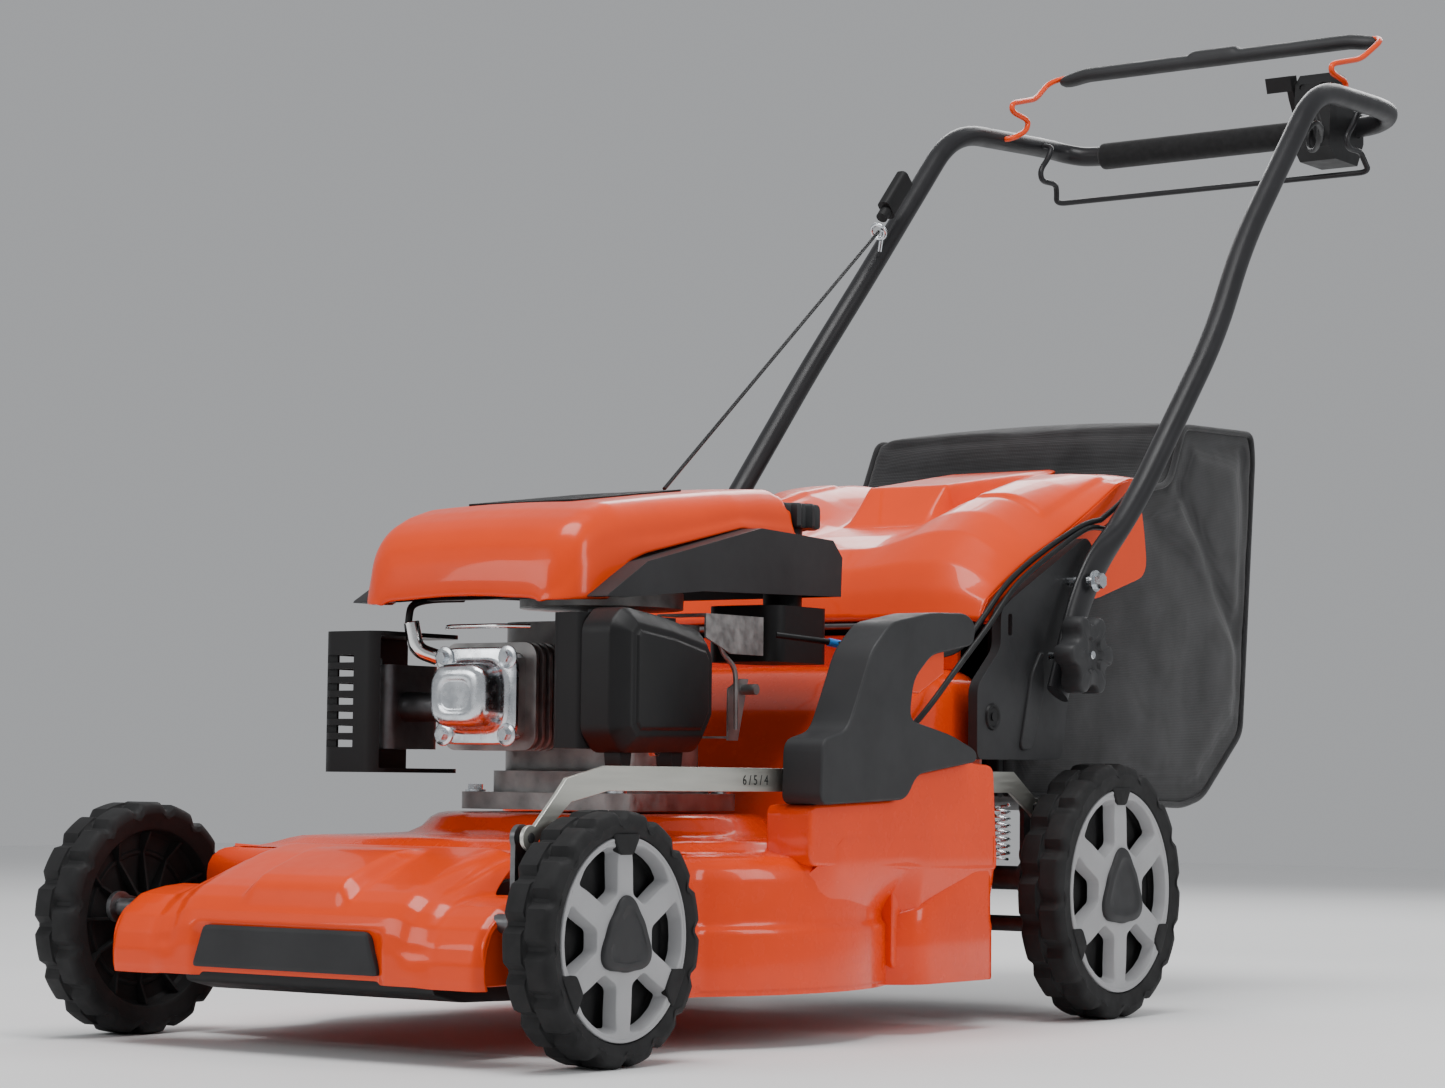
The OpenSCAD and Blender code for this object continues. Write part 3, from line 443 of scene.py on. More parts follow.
def plinth(outline, z0, z1):
    """An outline of (x, y) in millimetres, from z0 to z1."""
    return loft([[at(x, y, z) for x, y in outline] for z in (z0, z1)])


def mirrored(points, faces):
    return [Vector((-p[0], p[1], p[2])) for p in points], [tuple(reversed(f)) for f in faces]


def rounded_rect(w, h, r, n=6):
    """Points of a rectangle with round corners, about the origin."""
    points = []
    for k, (sx, sy) in enumerate(((1, 1), (-1, 1), (-1, -1), (1, -1))):
        for i in range(n + 1):
            a = (k + i / n) * math.pi / 2
            points.append((sx * (w / 2 - r) + r * math.cos(a), sy * (h / 2 - r) + r * math.sin(a)))
    return points


def rounded_outline(points, r, n=5):
    """A closed outline with each corner rounded, starting r before it at most."""
    result = []
    for i, p in enumerate(points):
        p = Vector(p)
        a, b = Vector(points[i - 1]), Vector(points[(i + 1) % len(points)])
        da, db = min(r, (a - p).length * 0.45), min(r, (b - p).length * 0.45)
        a, b = p + (a - p).normalized() * da, p + (b - p).normalized() * db
        for k in range(n + 1):
            t = k / n
            result.append(tuple((1 - t) ** 2 * a + 2 * t * (1 - t) * p + t * t * b))
    return result


def bent(points, r, n=8):
    """An open route with each inner corner rounded, as in the CAD source."""
    points = [Vector(p) for p in points]
    result = [points[0]]
    for a, p, b in zip(points, points[1:], points[2:]):
        first = p + (a - p).normalized() * min(r, (a - p).length * 0.45)
        last = p + (b - p).normalized() * min(r, (b - p).length * 0.45)
        for k in range(n + 1):
            t = k / n
            result.append((1 - t) ** 2 * first + 2 * t * (1 - t) * p + t * t * last)
    return result + [points[-1]]


def flowing(points, steps=6):
    """A smooth curve through a route's points."""
    p = [Vector(q) for q in points]
    last = len(p) - 1
    result = []
    for i in range(last):
        a, b, c, d = p[max(i - 1, 0)], p[i], p[i + 1], p[min(i + 2, last)]
        for k in range(steps):
            t = k / steps
            bow, twist = 2 * a - 5 * b + 4 * c - d, 3 * b - a - 3 * c + d
            result.append(0.5 * (2 * b + (c - a) * t + bow * t * t + twist * t ** 3))
    return result + [p[-1]]


def sweep(route, radius, sides=16, shape=None):
    """A round bar along a route in millimetres. shape(share) gives (wide, high) factors along it."""
    route = [Vector(p) for p in route]
    lengths = [0.0]
    for a, b in zip(route, route[1:]):
        lengths.append(lengths[-1] + (b - a).length)
    loops = []
    heading = (route[1] - route[0]).normalized()
    side = heading.orthogonal().normalized()
    if shape:
        side = Vector((1, 0, 0))
    for i, p in enumerate(route):
        new = (route[min(i + 1, len(route) - 1)] - route[max(i - 1, 0)]).normalized()
        if not shape:
            side = (heading.rotation_difference(new).to_matrix() @ side).normalized()
        side = (side - new * side.dot(new)).normalized()
        over = new.cross(side)
        heading = new
        wide, high = shape(lengths[i]) if shape else (1.0, 1.0)
        loops.append([
            at(*(p + radius * (
                wide * math.cos(TAU * k / sides) * side + high * math.sin(TAU * k / sides) * over)))
            for k in range(sides)
        ])
    return loft(loops)


def lathe(profile, centre, axis="x", steps=48, sign=1):
    """A profile of (radius, height) turned about an axis through centre, height along it."""
    loops = []
    for r, h in profile:
        loop = []
        for k in range(steps):
            c, s = r * math.cos(TAU * k / steps), r * math.sin(TAU * k / steps)
            offset = {"x": (sign * h, c, s), "y": (c, sign * h, s), "z": (c, s, sign * h)}[axis]
            loop.append(at(*(Vector(centre) + Vector(offset))))
        loops.append(loop)
    return loft(loops, start=profile[0][0] > 0.01, end=profile[-1][0] > 0.01)


def shrunk(polygon, distance):
    """An anticlockwise polygon with each side moved inward and its corners kept."""
    result = []
    for i, p in enumerate(polygon):
        p, before, after = Vector(p), Vector(polygon[i - 1]), Vector(polygon[(i + 1) % len(polygon)])
        d1, d2 = (p - before).normalized(), (after - p).normalized()
        n1, n2 = Vector((-d1.y, d1.x)), Vector((-d2.y, d2.x))
        result.append(tuple(p + (n1 + n2) * (distance / max(0.3, 1 + n1.dot(n2)))))
    return result


def inset(outline, distance):
    """A closed anticlockwise outline moved inward along its normals."""
    result = []
    for i, p in enumerate(outline):
        before, after = Vector(outline[i - 1]), Vector(outline[(i + 1) % len(outline)])
        along_it = (after - before).normalized()
        result.append((p[0] - along_it.y * distance, p[1] + along_it.x * distance))
    return result


def anticlockwise(outline):
    area = sum(a[0] * b[1] - b[0] * a[1] for a, b in zip(outline, outline[1:] + outline[:1]))
    return outline if area > 0 else outline[::-1]


def stepped(polygon, radius, steps, place, n=4):
    """A solid of one polygon with round corners at several (inset, depth) steps; place(a, b, depth)
    gives the point."""
    polygon = anticlockwise(polygon)
    loops = []
    for d, depth in steps:
        round_one = rounded_outline(shrunk(polygon, d), max(0.6, radius - 0.6 * d), n)
        loops.append([place(a, b, depth) for a, b in round_one])
    return loft(loops)


def rectangle(w, h):
    return [(w / 2, h / 2), (-w / 2, h / 2), (-w / 2, -h / 2), (w / 2, -h / 2)]


def block(name, outline, corner, span, material, edge, n=3, segments=3, angle=30.0):
    """A slab of the deck's: corner is its outline's radius, span its two x, and edge its edges' width."""
    solid = slab(rounded_outline(outline, corner, n), *span)
    softened(piece(name, *solid, material, "deck"), edge, segments, angle)


# ---------------------------------------------------------------- wheels

SPOKES = 6
BLOCKS = 16  # tread blocks in each of the two rows
BLOCK_STEPS = 12
GROOVE = 5.5
RIBS = 12
TONGUES = 3
LOBE_STEPS = 72


class Wheel:
    """One wheel: side is +1 on the left; face is the x of its cover, hub its axle's (y, z)."""

    def __init__(self, name, side, face, hub, tyre_r, cover_r, width):
        self.name, self.side, self.face, self.hub = name, side, face, hub
        self.tyre_r, self.cover_r, self.width = tyre_r, cover_r, width

    def point(self, r, angle, depth):
        y, z = self.hub[0] + r * math.cos(angle), self.hub[1] + r * math.sin(angle)
        return at(self.side * (self.face - depth), y, z)

    def turned(self, profile, columns):
        loops = [[self.point(r, TAU * k / columns, d) for k in range(columns)] for r, d in profile]
        return loft(loops + [loops[0]], start=False, end=False)

    def tyre(self):
        """Tread blocks in two staggered rows, which run down over the shoulders as lugs."""
        r, rim, w = self.tyre_r, self.cover_r, self.width
        top, columns = -3.0, BLOCKS * BLOCK_STEPS
        middle_depth = top + w / 2
        profile = [
            (rim - 5, 16, 0, 0), (rim - 4, 10, 0, 0), (rim + 0.5, 9, 0, 0), (rim + 0.8, 0.5, 0, 0),
            (rim + 2.4, -0.8, 0, 0), (r - 12.5, top + 1.2, 0, 0), (r - 11, top + 0.6, 0.1, 0),
            (r - 10, top + 0.3, 0.9, 0), (r - 3.5, top + 2, 1, 0), (r - 1, top + 4.5, 1, 0),
            (r, top + 8, 1, 0),
            (r, middle_depth - 2.0, 1, 0), (r - 2.0, middle_depth - 1.2, 0.6, 0),
            (r - 2.0, middle_depth + 1.2, 0.6, 1), (r, middle_depth + 2.0, 1, 1),
            (r, top + w - 8, 1, 1), (r - 1, top + w - 4.5, 1, 1), (r - 3.5, top + w - 2, 1, 1),
            (r - 10, top + w - 0.3, 0.9, 1), (r - 11, top + w - 0.6, 0.1, 1), (r - 12.5, top + w - 1.2, 0, 1),
            (rim - 1, top + w - 3, 0, 1), (rim - 4, top + w - 5, 0, 1), (rim - 6, 30, 0, 1),
            (rim - 9, 27, 0, 1),
            (rim * 0.74, 26, 0, 1), (rim * 0.72, 28, 0, 1), (rim * 0.69, 28, 0, 1), (rim * 0.67, 26, 0, 1),
            (rim * 0.42, 25, 0, 1), (24, 26, 0, 1), (21, 34, 0, 1), (19, top + w - 5, 0, 1),
            (8, top + w - 5, 0, 1),
            (8, 18, 0, 1), (24, 18, 0, 1), (rim - 8, 20, 0, 1),
        ]
        loops = []
        for radius, depth, groove, half in profile:
            loop = []
            for k in range(columns):
                phase = (k + BLOCK_STEPS // 2 * half) % BLOCK_STEPS
                low = {0: 0.5, 1: 1.0, 2: 1.0, 3: 0.5}.get(phase, 0.0)
                loop.append(self.point(radius - GROOVE * groove * low, TAU * k / columns, depth))
            loops.append(loop)
        skin = loft(loops + [loops[0]], start=False, end=False)
        ribs = [self.rib(TAU * k / RIBS) for k in range(RIBS)]
        thing = piece(self.name + "_tyre", *joined(skin, *ribs), TYRE, self.name, [self.name], 32)
        softened(thing, 0.7, 2, 40)

    def rib(self, angle):
        """One of the webs on the wheel's inner side."""
        inner, outer, half = 22, self.cover_r - 6, 1.3
        corners = [(inner, 25.5), (outer, 25.5), (outer, 40), (self.cover_r * 0.7, 31), (inner, 38)]
        return loft([[self.point(r, angle + shift / r, d) for r, d in corners] for shift in (-half, half)])

    def cover(self):
        """Six spokes with tapered windows between them, a rim and a three-lobed hub cap."""
        rim = self.cover_r
        window = rounded_outline(
            [(-0.11, 0.44), (0.11, 0.44), (0.26, 0.70), (0.355, 0.83), (0.19, 0.915), (0, 0.935),
             (-0.19, 0.915), (-0.355, 0.83), (-0.26, 0.70)], 0.05, 4)
        sectors = [self.sector(rim, window, TAU * k / SPOKES) for k in range(SPOKES)]
        lip = self.turned([
            (0.955 * rim, 1.4), (0.965 * rim, -0.3), (0.985 * rim, -0.9), (rim - 0.4, -0.6), (rim, 0.6),
            (rim, 8), (0.955 * rim, 8)], 96)
        node = self.name.replace("wheel", "wheel_cover")
        thing = piece(node + "_spokes", *joined(*sectors, lip), WHEEL_GREY, self.name, [node], 28)
        thing.modifiers.new("edges", "WEIGHTED_NORMAL")
        turns = [TAU * k / LOBE_STEPS for k in range(LOBE_STEPS)]
        cap = []
        for share, depth in ((1, 1), (1, -2.6), (0.975, -4), (0.93, -4.8), (0.8, -5.2), (0.74, -5.2),
                             (0.70, -4.2), (0.5, -4.0), (0.12, -4.2)):
            cap.append([self.point(0.40 * rim * self.lobe(a) * share, a, depth) for a in turns])
        piece(node + "_hub_cap", *loft(cap), CHARCOAL, self.name, smooth=40)
        tongues = [self.tongue(math.pi / 2 + TAU * k / TONGUES) for k in range(TONGUES)]
        piece(node + "_tongues", *joined(*tongues), TYRE, self.name, smooth=30)

    def lobe(self, angle):
        """The hub cap's outline: three lobes, one of them at the bottom."""
        a = angle - math.pi / 2
        return 0.90 + 0.14 * math.cos(3 * a) + 0.035 * math.cos(6 * a)

    def sector(self, rim, window, turn):
        """A sixth of the cover's face, with its window's walls."""
        low, high, centre, half = 0.2, 0.965, 0.70, math.pi / SPOKES
        loops = [[] for _ in range(5)]
        for t, height in window:
            toward_a, toward_r = math.atan2(t, height), math.hypot(t, height) - centre
            reach = min(
                half / abs(toward_a) if abs(toward_a) > 1e-6 else 1e9,
                (high - centre) / toward_r if toward_r > 1e-6 else 1e9,
                (low - centre) / toward_r if toward_r < -1e-6 else 1e9)
            steps = ((reach, 0.0), (1 + 0.45 * (reach - 1), 0.0), (1.05, 0.2), (1.0, 1.3), (0.84, 11.5))
            for loop, (share, depth) in zip(loops, steps):
                at_r = centre + toward_r * share
                crown = 1.2 * (1 - at_r)
                loop.append(self.point(rim * at_r, turn + toward_a * share, depth - crown))
        return loft(loops, start=False, end=False)

    def tongue(self, angle):
        """A rubber tongue that laps over the cover's rim."""
        rim = self.cover_r
        outline = rounded_outline([(-9, rim - 15), (9, rim - 15), (19, rim + 3.5), (-19, rim + 3.5)], 4, 3)
        middle_r = rim - 6
        loops = []
        for share, depth in ((1, 5), (1, -1.0), (0.93, -1.9), (0.8, -2.2)):
            loop = []
            for t, r in outline:
                radius = middle_r + (r - middle_r) * share
                loop.append(self.point(radius, angle + t * share / radius, depth))
            loops.append(loop)
        return loft(loops)


def wheels():
    front_hub, rear_hub = (0, 105), (808, 128)
    for side, which in SIDES:
        for wheel in (Wheel("front_wheel_" + which, side, 291, front_hub, 105, 84, 51),
                      Wheel("rear_wheel_" + which, side, 303.5, rear_hub, 128, 101.5, 51)):
            wheel.tyre()
            wheel.cover()


# ---------------------------------------------------------------- deck

BLADE_Y = 340
DECK_R = 276
HALF_DECK = 230
DECK_FRONT = 44
DECK_BACK = 672
STEP_R = 232  # outside of the annular step round the engine's seat
SEAT_R = 144
TUNNEL_X = 222
TUNNEL_TOP = [(430, 160), (470, 236), (520, 304), (572, 342), (600, 350), (672, 350)]


def deck_outline():
    """The deck's plan: a circle over the blade, with straight sides before and behind it."""
    start = math.asin(HALF_DECK / DECK_R)
    reach = DECK_R * math.cos(start)
    right = [(HALF_DECK, DECK_FRONT + (BLADE_Y - reach - DECK_FRONT) * k / 4) for k in range(1, 4)]
    for k in range(41):
        a = start + (math.pi - 2 * start) * k / 40 - math.pi / 2
        right.append((DECK_R * math.cos(a), BLADE_Y + DECK_R * math.sin(a)))
    right += [(HALF_DECK, BLADE_Y + reach + (DECK_BACK - BLADE_Y - reach) * k / 6) for k in range(1, 6)]
    front = [(-HALF_DECK + 2 * HALF_DECK * k / 16, DECK_FRONT) for k in range(17)]
    back = [(HALF_DECK - 2 * HALF_DECK * k / 16, DECK_BACK) for k in range(17)]
    return front + right + back + [(-x, y) for x, y in reversed(right)]


def deck_skin():
    """Skirt, shoulder, an annular step and the raised seat of the engine, as one skin."""
    outline = deck_outline()
    inward = inset(outline, 1.0)
    skirt = [
        (1.5, 50), (0, 47), (0, 49), (0, 99), (0.3, 102.5), (1.2, 105), (3.4, 107.5), (4.2, 110), (4.4, 114),
        (5, 146), (6, 154), (9.5, 161), (15, 166), (21, 168.6), (28, 169.6)]
    seat = [
        (STEP_R, 170.2), (226, 171), (222, 173.5), (217, 178), (213, 180.4), (206, 181.4), (182, 182.6),
        (172, 184.2), (164, 190), (158, 198), (152, 201.6), (SEAT_R, 203.2), (60, 204)]
    loops = []
    for distance, z in skirt:
        loops.append([
            at(p[0] + (q[0] - p[0]) * distance, p[1] + (q[1] - p[1]) * distance, z)
            for p, q in zip(outline, inward)])
    for r, z in seat:
        loops.append([seat_point(p, r, z) for p in outline])
    return loft(loops, start=False, end=True)


def seat_point(p, r, z):
    """The point of the seat's ring of radius r that lies inward of p. Outer rings follow the outline."""
    away = Vector((p[0], p[1] - BLADE_Y))
    far = away.length - 30
    share = min(1.0, (STEP_R - r) / (STEP_R - SEAT_R)) if far > r else 1.0
    x, y = away.normalized() * (r + max(0.0, far - STEP_R) * (1 - share) ** 2) + Vector((0, BLADE_Y))
    return at(x, y, z)


def tunnel_skin():
    """The hump over the discharge chute, with round shoulders and a flat front lip."""
    steps, start = 48, TUNNEL_TOP[0][0]
    ys = [start + (DECK_BACK - start) * k / steps for k in range(steps + 1)]
    tops = [along(TUNNEL_TOP, y) for y in ys]
    smooth_tops = [sum(tops[i - 2:i + 3]) / 5 if 2 < i < steps - 2 else tops[i] for i in range(steps + 1)]
    crown = 2.2

    def point(u, v):
        row = round(v * steps)
        top = smooth_tops[row]
        r = min(38.0, max(4.0, (top - 150) * 0.45))
        flat, side = TUNNEL_X - r, max(0.0, top - r - 140)
        arc = r * math.pi / 2
        s = abs(u - 0.5) * 2 * (flat + arc + side)
        if s < flat:
            x, z = s, top - crown * (s / flat) ** 2
        elif s < flat + arc:
            a = (s - flat) / r
            x, z = flat + r * math.sin(a), top - crown - r * (1 - math.cos(a))
        else:
            x, z = TUNNEL_X, top - crown - r - (s - flat - arc)
        return at(math.copysign(x, u - 0.5), ys[row], z)
    return grid_patch(64, steps, point)


FLARE = [(428, 222), (446, 244), (462, 262), (480, 276)]  # (y, x) of its front part
LEDGE_X = 275


def rear_flare(side):
    """The lower side panel before the rear wheel, which flares out again behind the round part."""
    plan = rounded_outline([(x, y) for y, x in FLARE] + [(276, 612), (222, 612)], 14, 4)
    top = [(428, 104), (453, 109), (480, 115), (520, 131), (560, 148), (600, 160), (620, 161)]
    loops = []  # below 20, z counts from the top line
    for inward, z in ((0.8, 47), (0, 49), (0, 98), (1.2, 104), (1.6, 0), (4, 3.5), (10, 6)):
        loop = []
        for x, y in inset(anticlockwise(plan), inward):
            edge = along(top, y)
            height = edge + z if z < 20 else min(z, edge - 2)
            loop.append(at(side * x, y, height))
        loops.append(loop)
    return loft(loops)


def side_blend():
    """The panel under the lift grip, which sweeps from its ledge into the round skirt and the flare."""
    rows = [292 + 4 * k for k in range(82)]
    low, front_top, inner, round_from = 104, 146, 214, 606
    loops = []
    for k in range(20):
        level = low + 4.2 * k
        loop = []
        for y in rows:
            z = min(level, along([(rows[0], front_top), (350, 188)], y))
            skirt = math.sqrt(max(0.0, DECK_R ** 2 - (y - BLADE_Y) ** 2))
            base = max(skirt, HALF_DECK, along(FLARE, y)) - 7
            share = blend_in((z - 106) / 58) * blend_in((y - 290) / 50)
            corner = 9 * (1 - math.sqrt(max(0.0, 1 - (max(0.0, y - round_from) / 10) ** 2)))
            loop.append(at(base + (LEDGE_X + 0.3 - base) * share - corner, y, z))
        loops.append(loop + [at(inner, rows[-1], level), at(inner, rows[0], min(level, front_top))])
    return loft(loops)


def deck():
    thickened(piece("deck_skin", *deck_skin(), ORANGE, "deck", ["deck_shell"], 50), 2.4)
    thickened(piece("discharge_tunnel", *tunnel_skin(), ORANGE, "deck", smooth=50), 2.4)
    for side, which in SIDES:
        softened(piece("deck_flare_" + which, *rear_flare(side), ORANGE, "deck", smooth=40), 1.5, 3, 40)
    piece("ledge_blend", *side_blend(), ORANGE, "deck", smooth=60)
    ledge = [(292, 160), (292, 214), (432, 219), (449, 242), (556, 255), (608, 252), (616, 150), (560, 150)]
    block("grip_ledge", ledge, 10, (226, LEDGE_X), ORANGE, 11, n=4, segments=6)
    pocket = [(452, 62), (452, 170), (612, 200), (612, 62)]
    block("pocket_wall", pocket, 8, (200, 259), ORANGE, 8, segments=5)
    rail = slab([(660, 347), (668, 347), (668, 380), (660, 384)], -200, 200)
    softened(piece("hinge_rail", *rail, ORANGE, "deck"), 1.5)
    piece("hinge_rod", *sweep([(-212, 652, 392), (0, 652, 392), (212, 652, 392)], 3, 20), STEEL, "deck")
    under = rounded_outline([(-196, 600), (196, 600), (196, 724), (-196, 724)], 6, 3)
    softened(piece("chute_floor", *plinth(under, 196, 198.4), ORANGE, "deck"), 0.8)


SHROUD = [(-90, 63), (-92, 70), (-92.5, 90), (-91, 106), (-86, 120), (-78, 131), (-66, 140), (-52, 146),
          (-24, 156), (10, 168), (44, 176)]
SHROUD_END = [(-88, 62), (-90, 70), (-90, 84), (-87, 98), (-80, 113), (-70, 122), (-58, 130), (-46, 133),
              (-30, 136), (-18, 137), (-8, 138)]


SHROUD_HALF = 213
SHROUD_VALLEY_X = 140


def front_shroud():
    """The moulding over the front axle: a crowned middle, a valley at each side and lower round ends."""
    steps = len(SHROUD) - 1

    def point(u, v):
        x = SHROUD_HALF * (2 * u - 1)
        i = min(int(v * steps), steps - 1)
        t = v * steps - i
        middle_yz = Vector(SHROUD[i]).lerp(Vector(SHROUD[i + 1]), t)
        end_yz = Vector(SHROUD_END[i]).lerp(Vector(SHROUD_END[i + 1]), t)
        yz = middle_yz.lerp(end_yz, blend_in((abs(x) - SHROUD_VALLEY_X) / 22))
        valley = math.exp(-((abs(x) - SHROUD_VALLEY_X) / 13) ** 2) * blend_in((v - 0.12) / 0.15)
        boss = blend_in((64 - abs(x)) / 16) * blend_in((v - 0.42) / 0.12) * blend_in((0.98 - v) / 0.16)
        shallow = blend_in((112 - abs(x)) / 12) * blend_in((0.22 - abs(v - 0.12)) / 0.08)
        edge = blend_in((abs(x) - SHROUD_HALF + 13) / 13)
        y, z = yz.x + 5 * shallow + 3 * valley, yz.y + 11 * boss - 7 * valley
        y += 9 * edge * edge * (1 - v)
        z -= 8 * edge * edge * v
        return at(x, y, z)
    skin = piece("front_shroud_skin", *grid_patch(142, steps * 5, point), ORANGE_MOULDING, "deck",
                 ["front_shroud"], 60)
    rounded_more(thickened(skin, 3.2))
    for side, which in SIDES:
        cheek = [(-84, 66), (-84, 100), (-72, 118), (-50, 128), (-10, 134), (-10, 66)]
        block("shroud_cheek_" + which, cheek, 10, (side * 206, side * 211.5), ORANGE_MOULDING, 2, n=4)
    inner = [(-80, 64), (-80, 100), (-66, 124), (-40, 134), (20, 150), (40, 150), (40, 64)]
    block("shroud_inner_wall", inner, 8, (-150, 150), BLACK, 2)
    lip = [(-86, 58), (-86, 74), (30, 74), (40, 48), (-50, 50)]
    block("shroud_lower_lip", lip, 6, (-120, 160), BLACK, 2)
    bumper = [(-106, 71), (106, 71), (93, 107), (-93, 107)]

    def place(x, z, y):
        return at(x, y, z)
    panel = stepped(bumper, 5, ((0, -80), (0, -92.5), (1.6, -94), (4, -94.3)), place)
    piece("bumper_insert", *panel, CHARCOAL, "deck", ["bumper_panel"], 40)


# ---------------------------------------------------------------- engine

COVER_TOP = [(128, 398), (128.6, 412), (131, 428), (137, 446), (147, 460), (160, 470), (180, 480), (206, 488),
             (250, 494), (310, 502), (384, 511), (440, 517), (480, 520), (503, 519), (518, 512), (527, 500),
             (531, 484), (531.6, 474)]
COVER_EDGE = [(128, 393), (187, 395), (196, 406), (213, 430), (240, 440), (391, 473), (532, 470)]
COVER_HALF = 128
COVER_FRONT, COVER_BACK = 128, 532
COVER_CORNER = 34
GRILLE_X, GRILLE_Y = 62, (214, 382)
CAP_X, CAP_Y = 96, 504
CAP_HOLE_R = 37.5


def engine_cover():
    """A shell with a flat top, round shoulders and upright sides, open over the grille and the fuel cap."""
    rows = []
    for (y0, z0), (y1, z1) in zip(COVER_TOP, COVER_TOP[1:]):
        steps = max(2, round(math.hypot(y1 - y0, z1 - z0) / 7))
        rows += [(y0 + (y1 - y0) * k / steps, z0 + (z1 - z0) * k / steps) for k in range(steps)]
    rows = sorted(rows + [COVER_TOP[-1]])
    flat, upright = 0.55, 0.85  # shares of the way down, where the shoulder starts and ends
    crown = 2.5

    def point(u, v):
        y, top = rows[round(v * (len(rows) - 1))]
        low = min(along(COVER_EDGE, y), top - 1)
        near = min(COVER_CORNER, y - COVER_FRONT, COVER_BACK - y)
        w = COVER_HALF - COVER_CORNER + math.sqrt(max(0.0, COVER_CORNER ** 2 - (COVER_CORNER - near) ** 2))
        drop = min(40.0, (top - low) * 0.8) * 0.92
        s = abs(u - 0.5) * 2
        if s < flat:
            x, z = s / flat * (w - 32), top - crown * (s / flat) ** 2
        elif s < upright:
            a = (s - flat) / (upright - flat) * math.pi / 2
            x, z = w - 32 + 28 * math.sin(a) ** 0.9, top - crown - drop * (1 - math.cos(a))
        else:
            t = (s - upright) / (1 - upright)
            start = top - crown - drop
            x, z = w - 4 + 4 * math.sqrt(t), min(start, start + (low - start) * t)
        return at(math.copysign(x, u - 0.5), y, z)
    points, faces = grid_patch(60, len(rows) - 1, point)
    kept = []
    for face in faces:
        centre = sum((Vector(points[i]) for i in face), Vector()) / len(face)
        x, y, _ = in_mm(centre)
        in_grille = abs(x) < GRILLE_X - 2 and GRILLE_Y[0] < y < GRILLE_Y[1]
        if not in_grille and math.hypot(x - CAP_X, y - CAP_Y) >= CAP_HOLE_R:
            kept.append(face)
    shell = piece("engine_cover_skin", points, kept, ORANGE_MOULDING, "deck", ["engine_cover"], 60)
    rounded_more(thickened(shell, 3.5))


def filter_cover():
    """The faceted air filter cover, with a chamfered rim and a raised panel."""
    outline = [(128, 276), (128, 370), (146, 387), (206, 380), (262, 369), (276, 350), (276, 290), (256, 260),
               (146, 258)]
    steps = ((0, 141.5), (0, 172), (1.0, 174), (13, 186), (15, 187), (20, 187.2), (21.5, 189.2), (23, 189.8))
    body = stepped(outline, 8, steps, lambda y, z, x: at(x, y, z))
    softened(piece("filter_cover", *body, BLACK, "deck", ["air_filter_cover"], 24), 1.6, 3, 24)
    for y in (160, 236):
        clip = [(y - 9, 262), (y + 9, 262), (y + 7, 246), (y - 7, 246)]
        block("filter_clip_%d" % y, clip, 3, (150, 168), BLACK, 1.5)


def valve_cover():
    """A pressed cover: a flange, a round-edged crown with a shallow dent, and a pad under each bolt."""
    middle_z = 309

    def place(x, z, y):
        return at(x, y, z + middle_z)
    base = stepped(rectangle(92, 88), 22, ((0, 160), (0, 156.5), (0.8, 155.6), (1.8, 155.2)), place, 6)
    piece("valve_cover_flange", *base, ZINC, "deck", ["valve_cover"], 40)
    crown_steps = ((-5, 155), (-2.5, 154.3), (-1, 152.5), (0, 149), (1, 136), (2, 131), (4.5, 127.2),
                   (8, 125.4), (12, 125), (15, 125), (16.4, 126.2), (18, 126.4))
    crown = stepped(rectangle(68, 60), 22, crown_steps, place, 6)
    piece("valve_cover_crown", *crown, ZINC, "deck", smooth=60)
    pad = [(0, -1.6), (9.5, -1.6), (10.5, -1), (10.5, 0), (0, 0)]
    for k, (x, z) in enumerate((x * 37, z * 35) for x in (-1, 1) for z in (-1, 1)):
        piece("valve_cover_pad_%d" % k, *lathe(pad, (x, 155, z + middle_z), "y", 28), ZINC, "deck")


def fuel_cap():
    """A ribbed cap: its edge bulges twelve times on the way round."""
    ribs, columns = 12, 96
    loops = []
    for share, z in ((0.96, 480.3), (1, 482), (1, 498), (0.985, 501.5), (0.95, 503.6), (0.9, 504.3),
                     (0.62, 504.3), (0.58, 502.8), (0.2, 502.8)):
        loop = []
        for k in range(columns):
            a = TAU * k / columns
            ripple = blend_in(0.5 + 0.9 * math.cos(ribs * a)) if share > 0.8 else 0.6
            r = (31.2 + 5 * ripple) * share
            loop.append(at(CAP_X + r * math.cos(a), CAP_Y + r * math.sin(a), z))
        loops.append(loop)
    piece("fuel_cap_moulding", *loft(loops), CHARCOAL, "fuel_cap", ["fuel_cap"], 40)


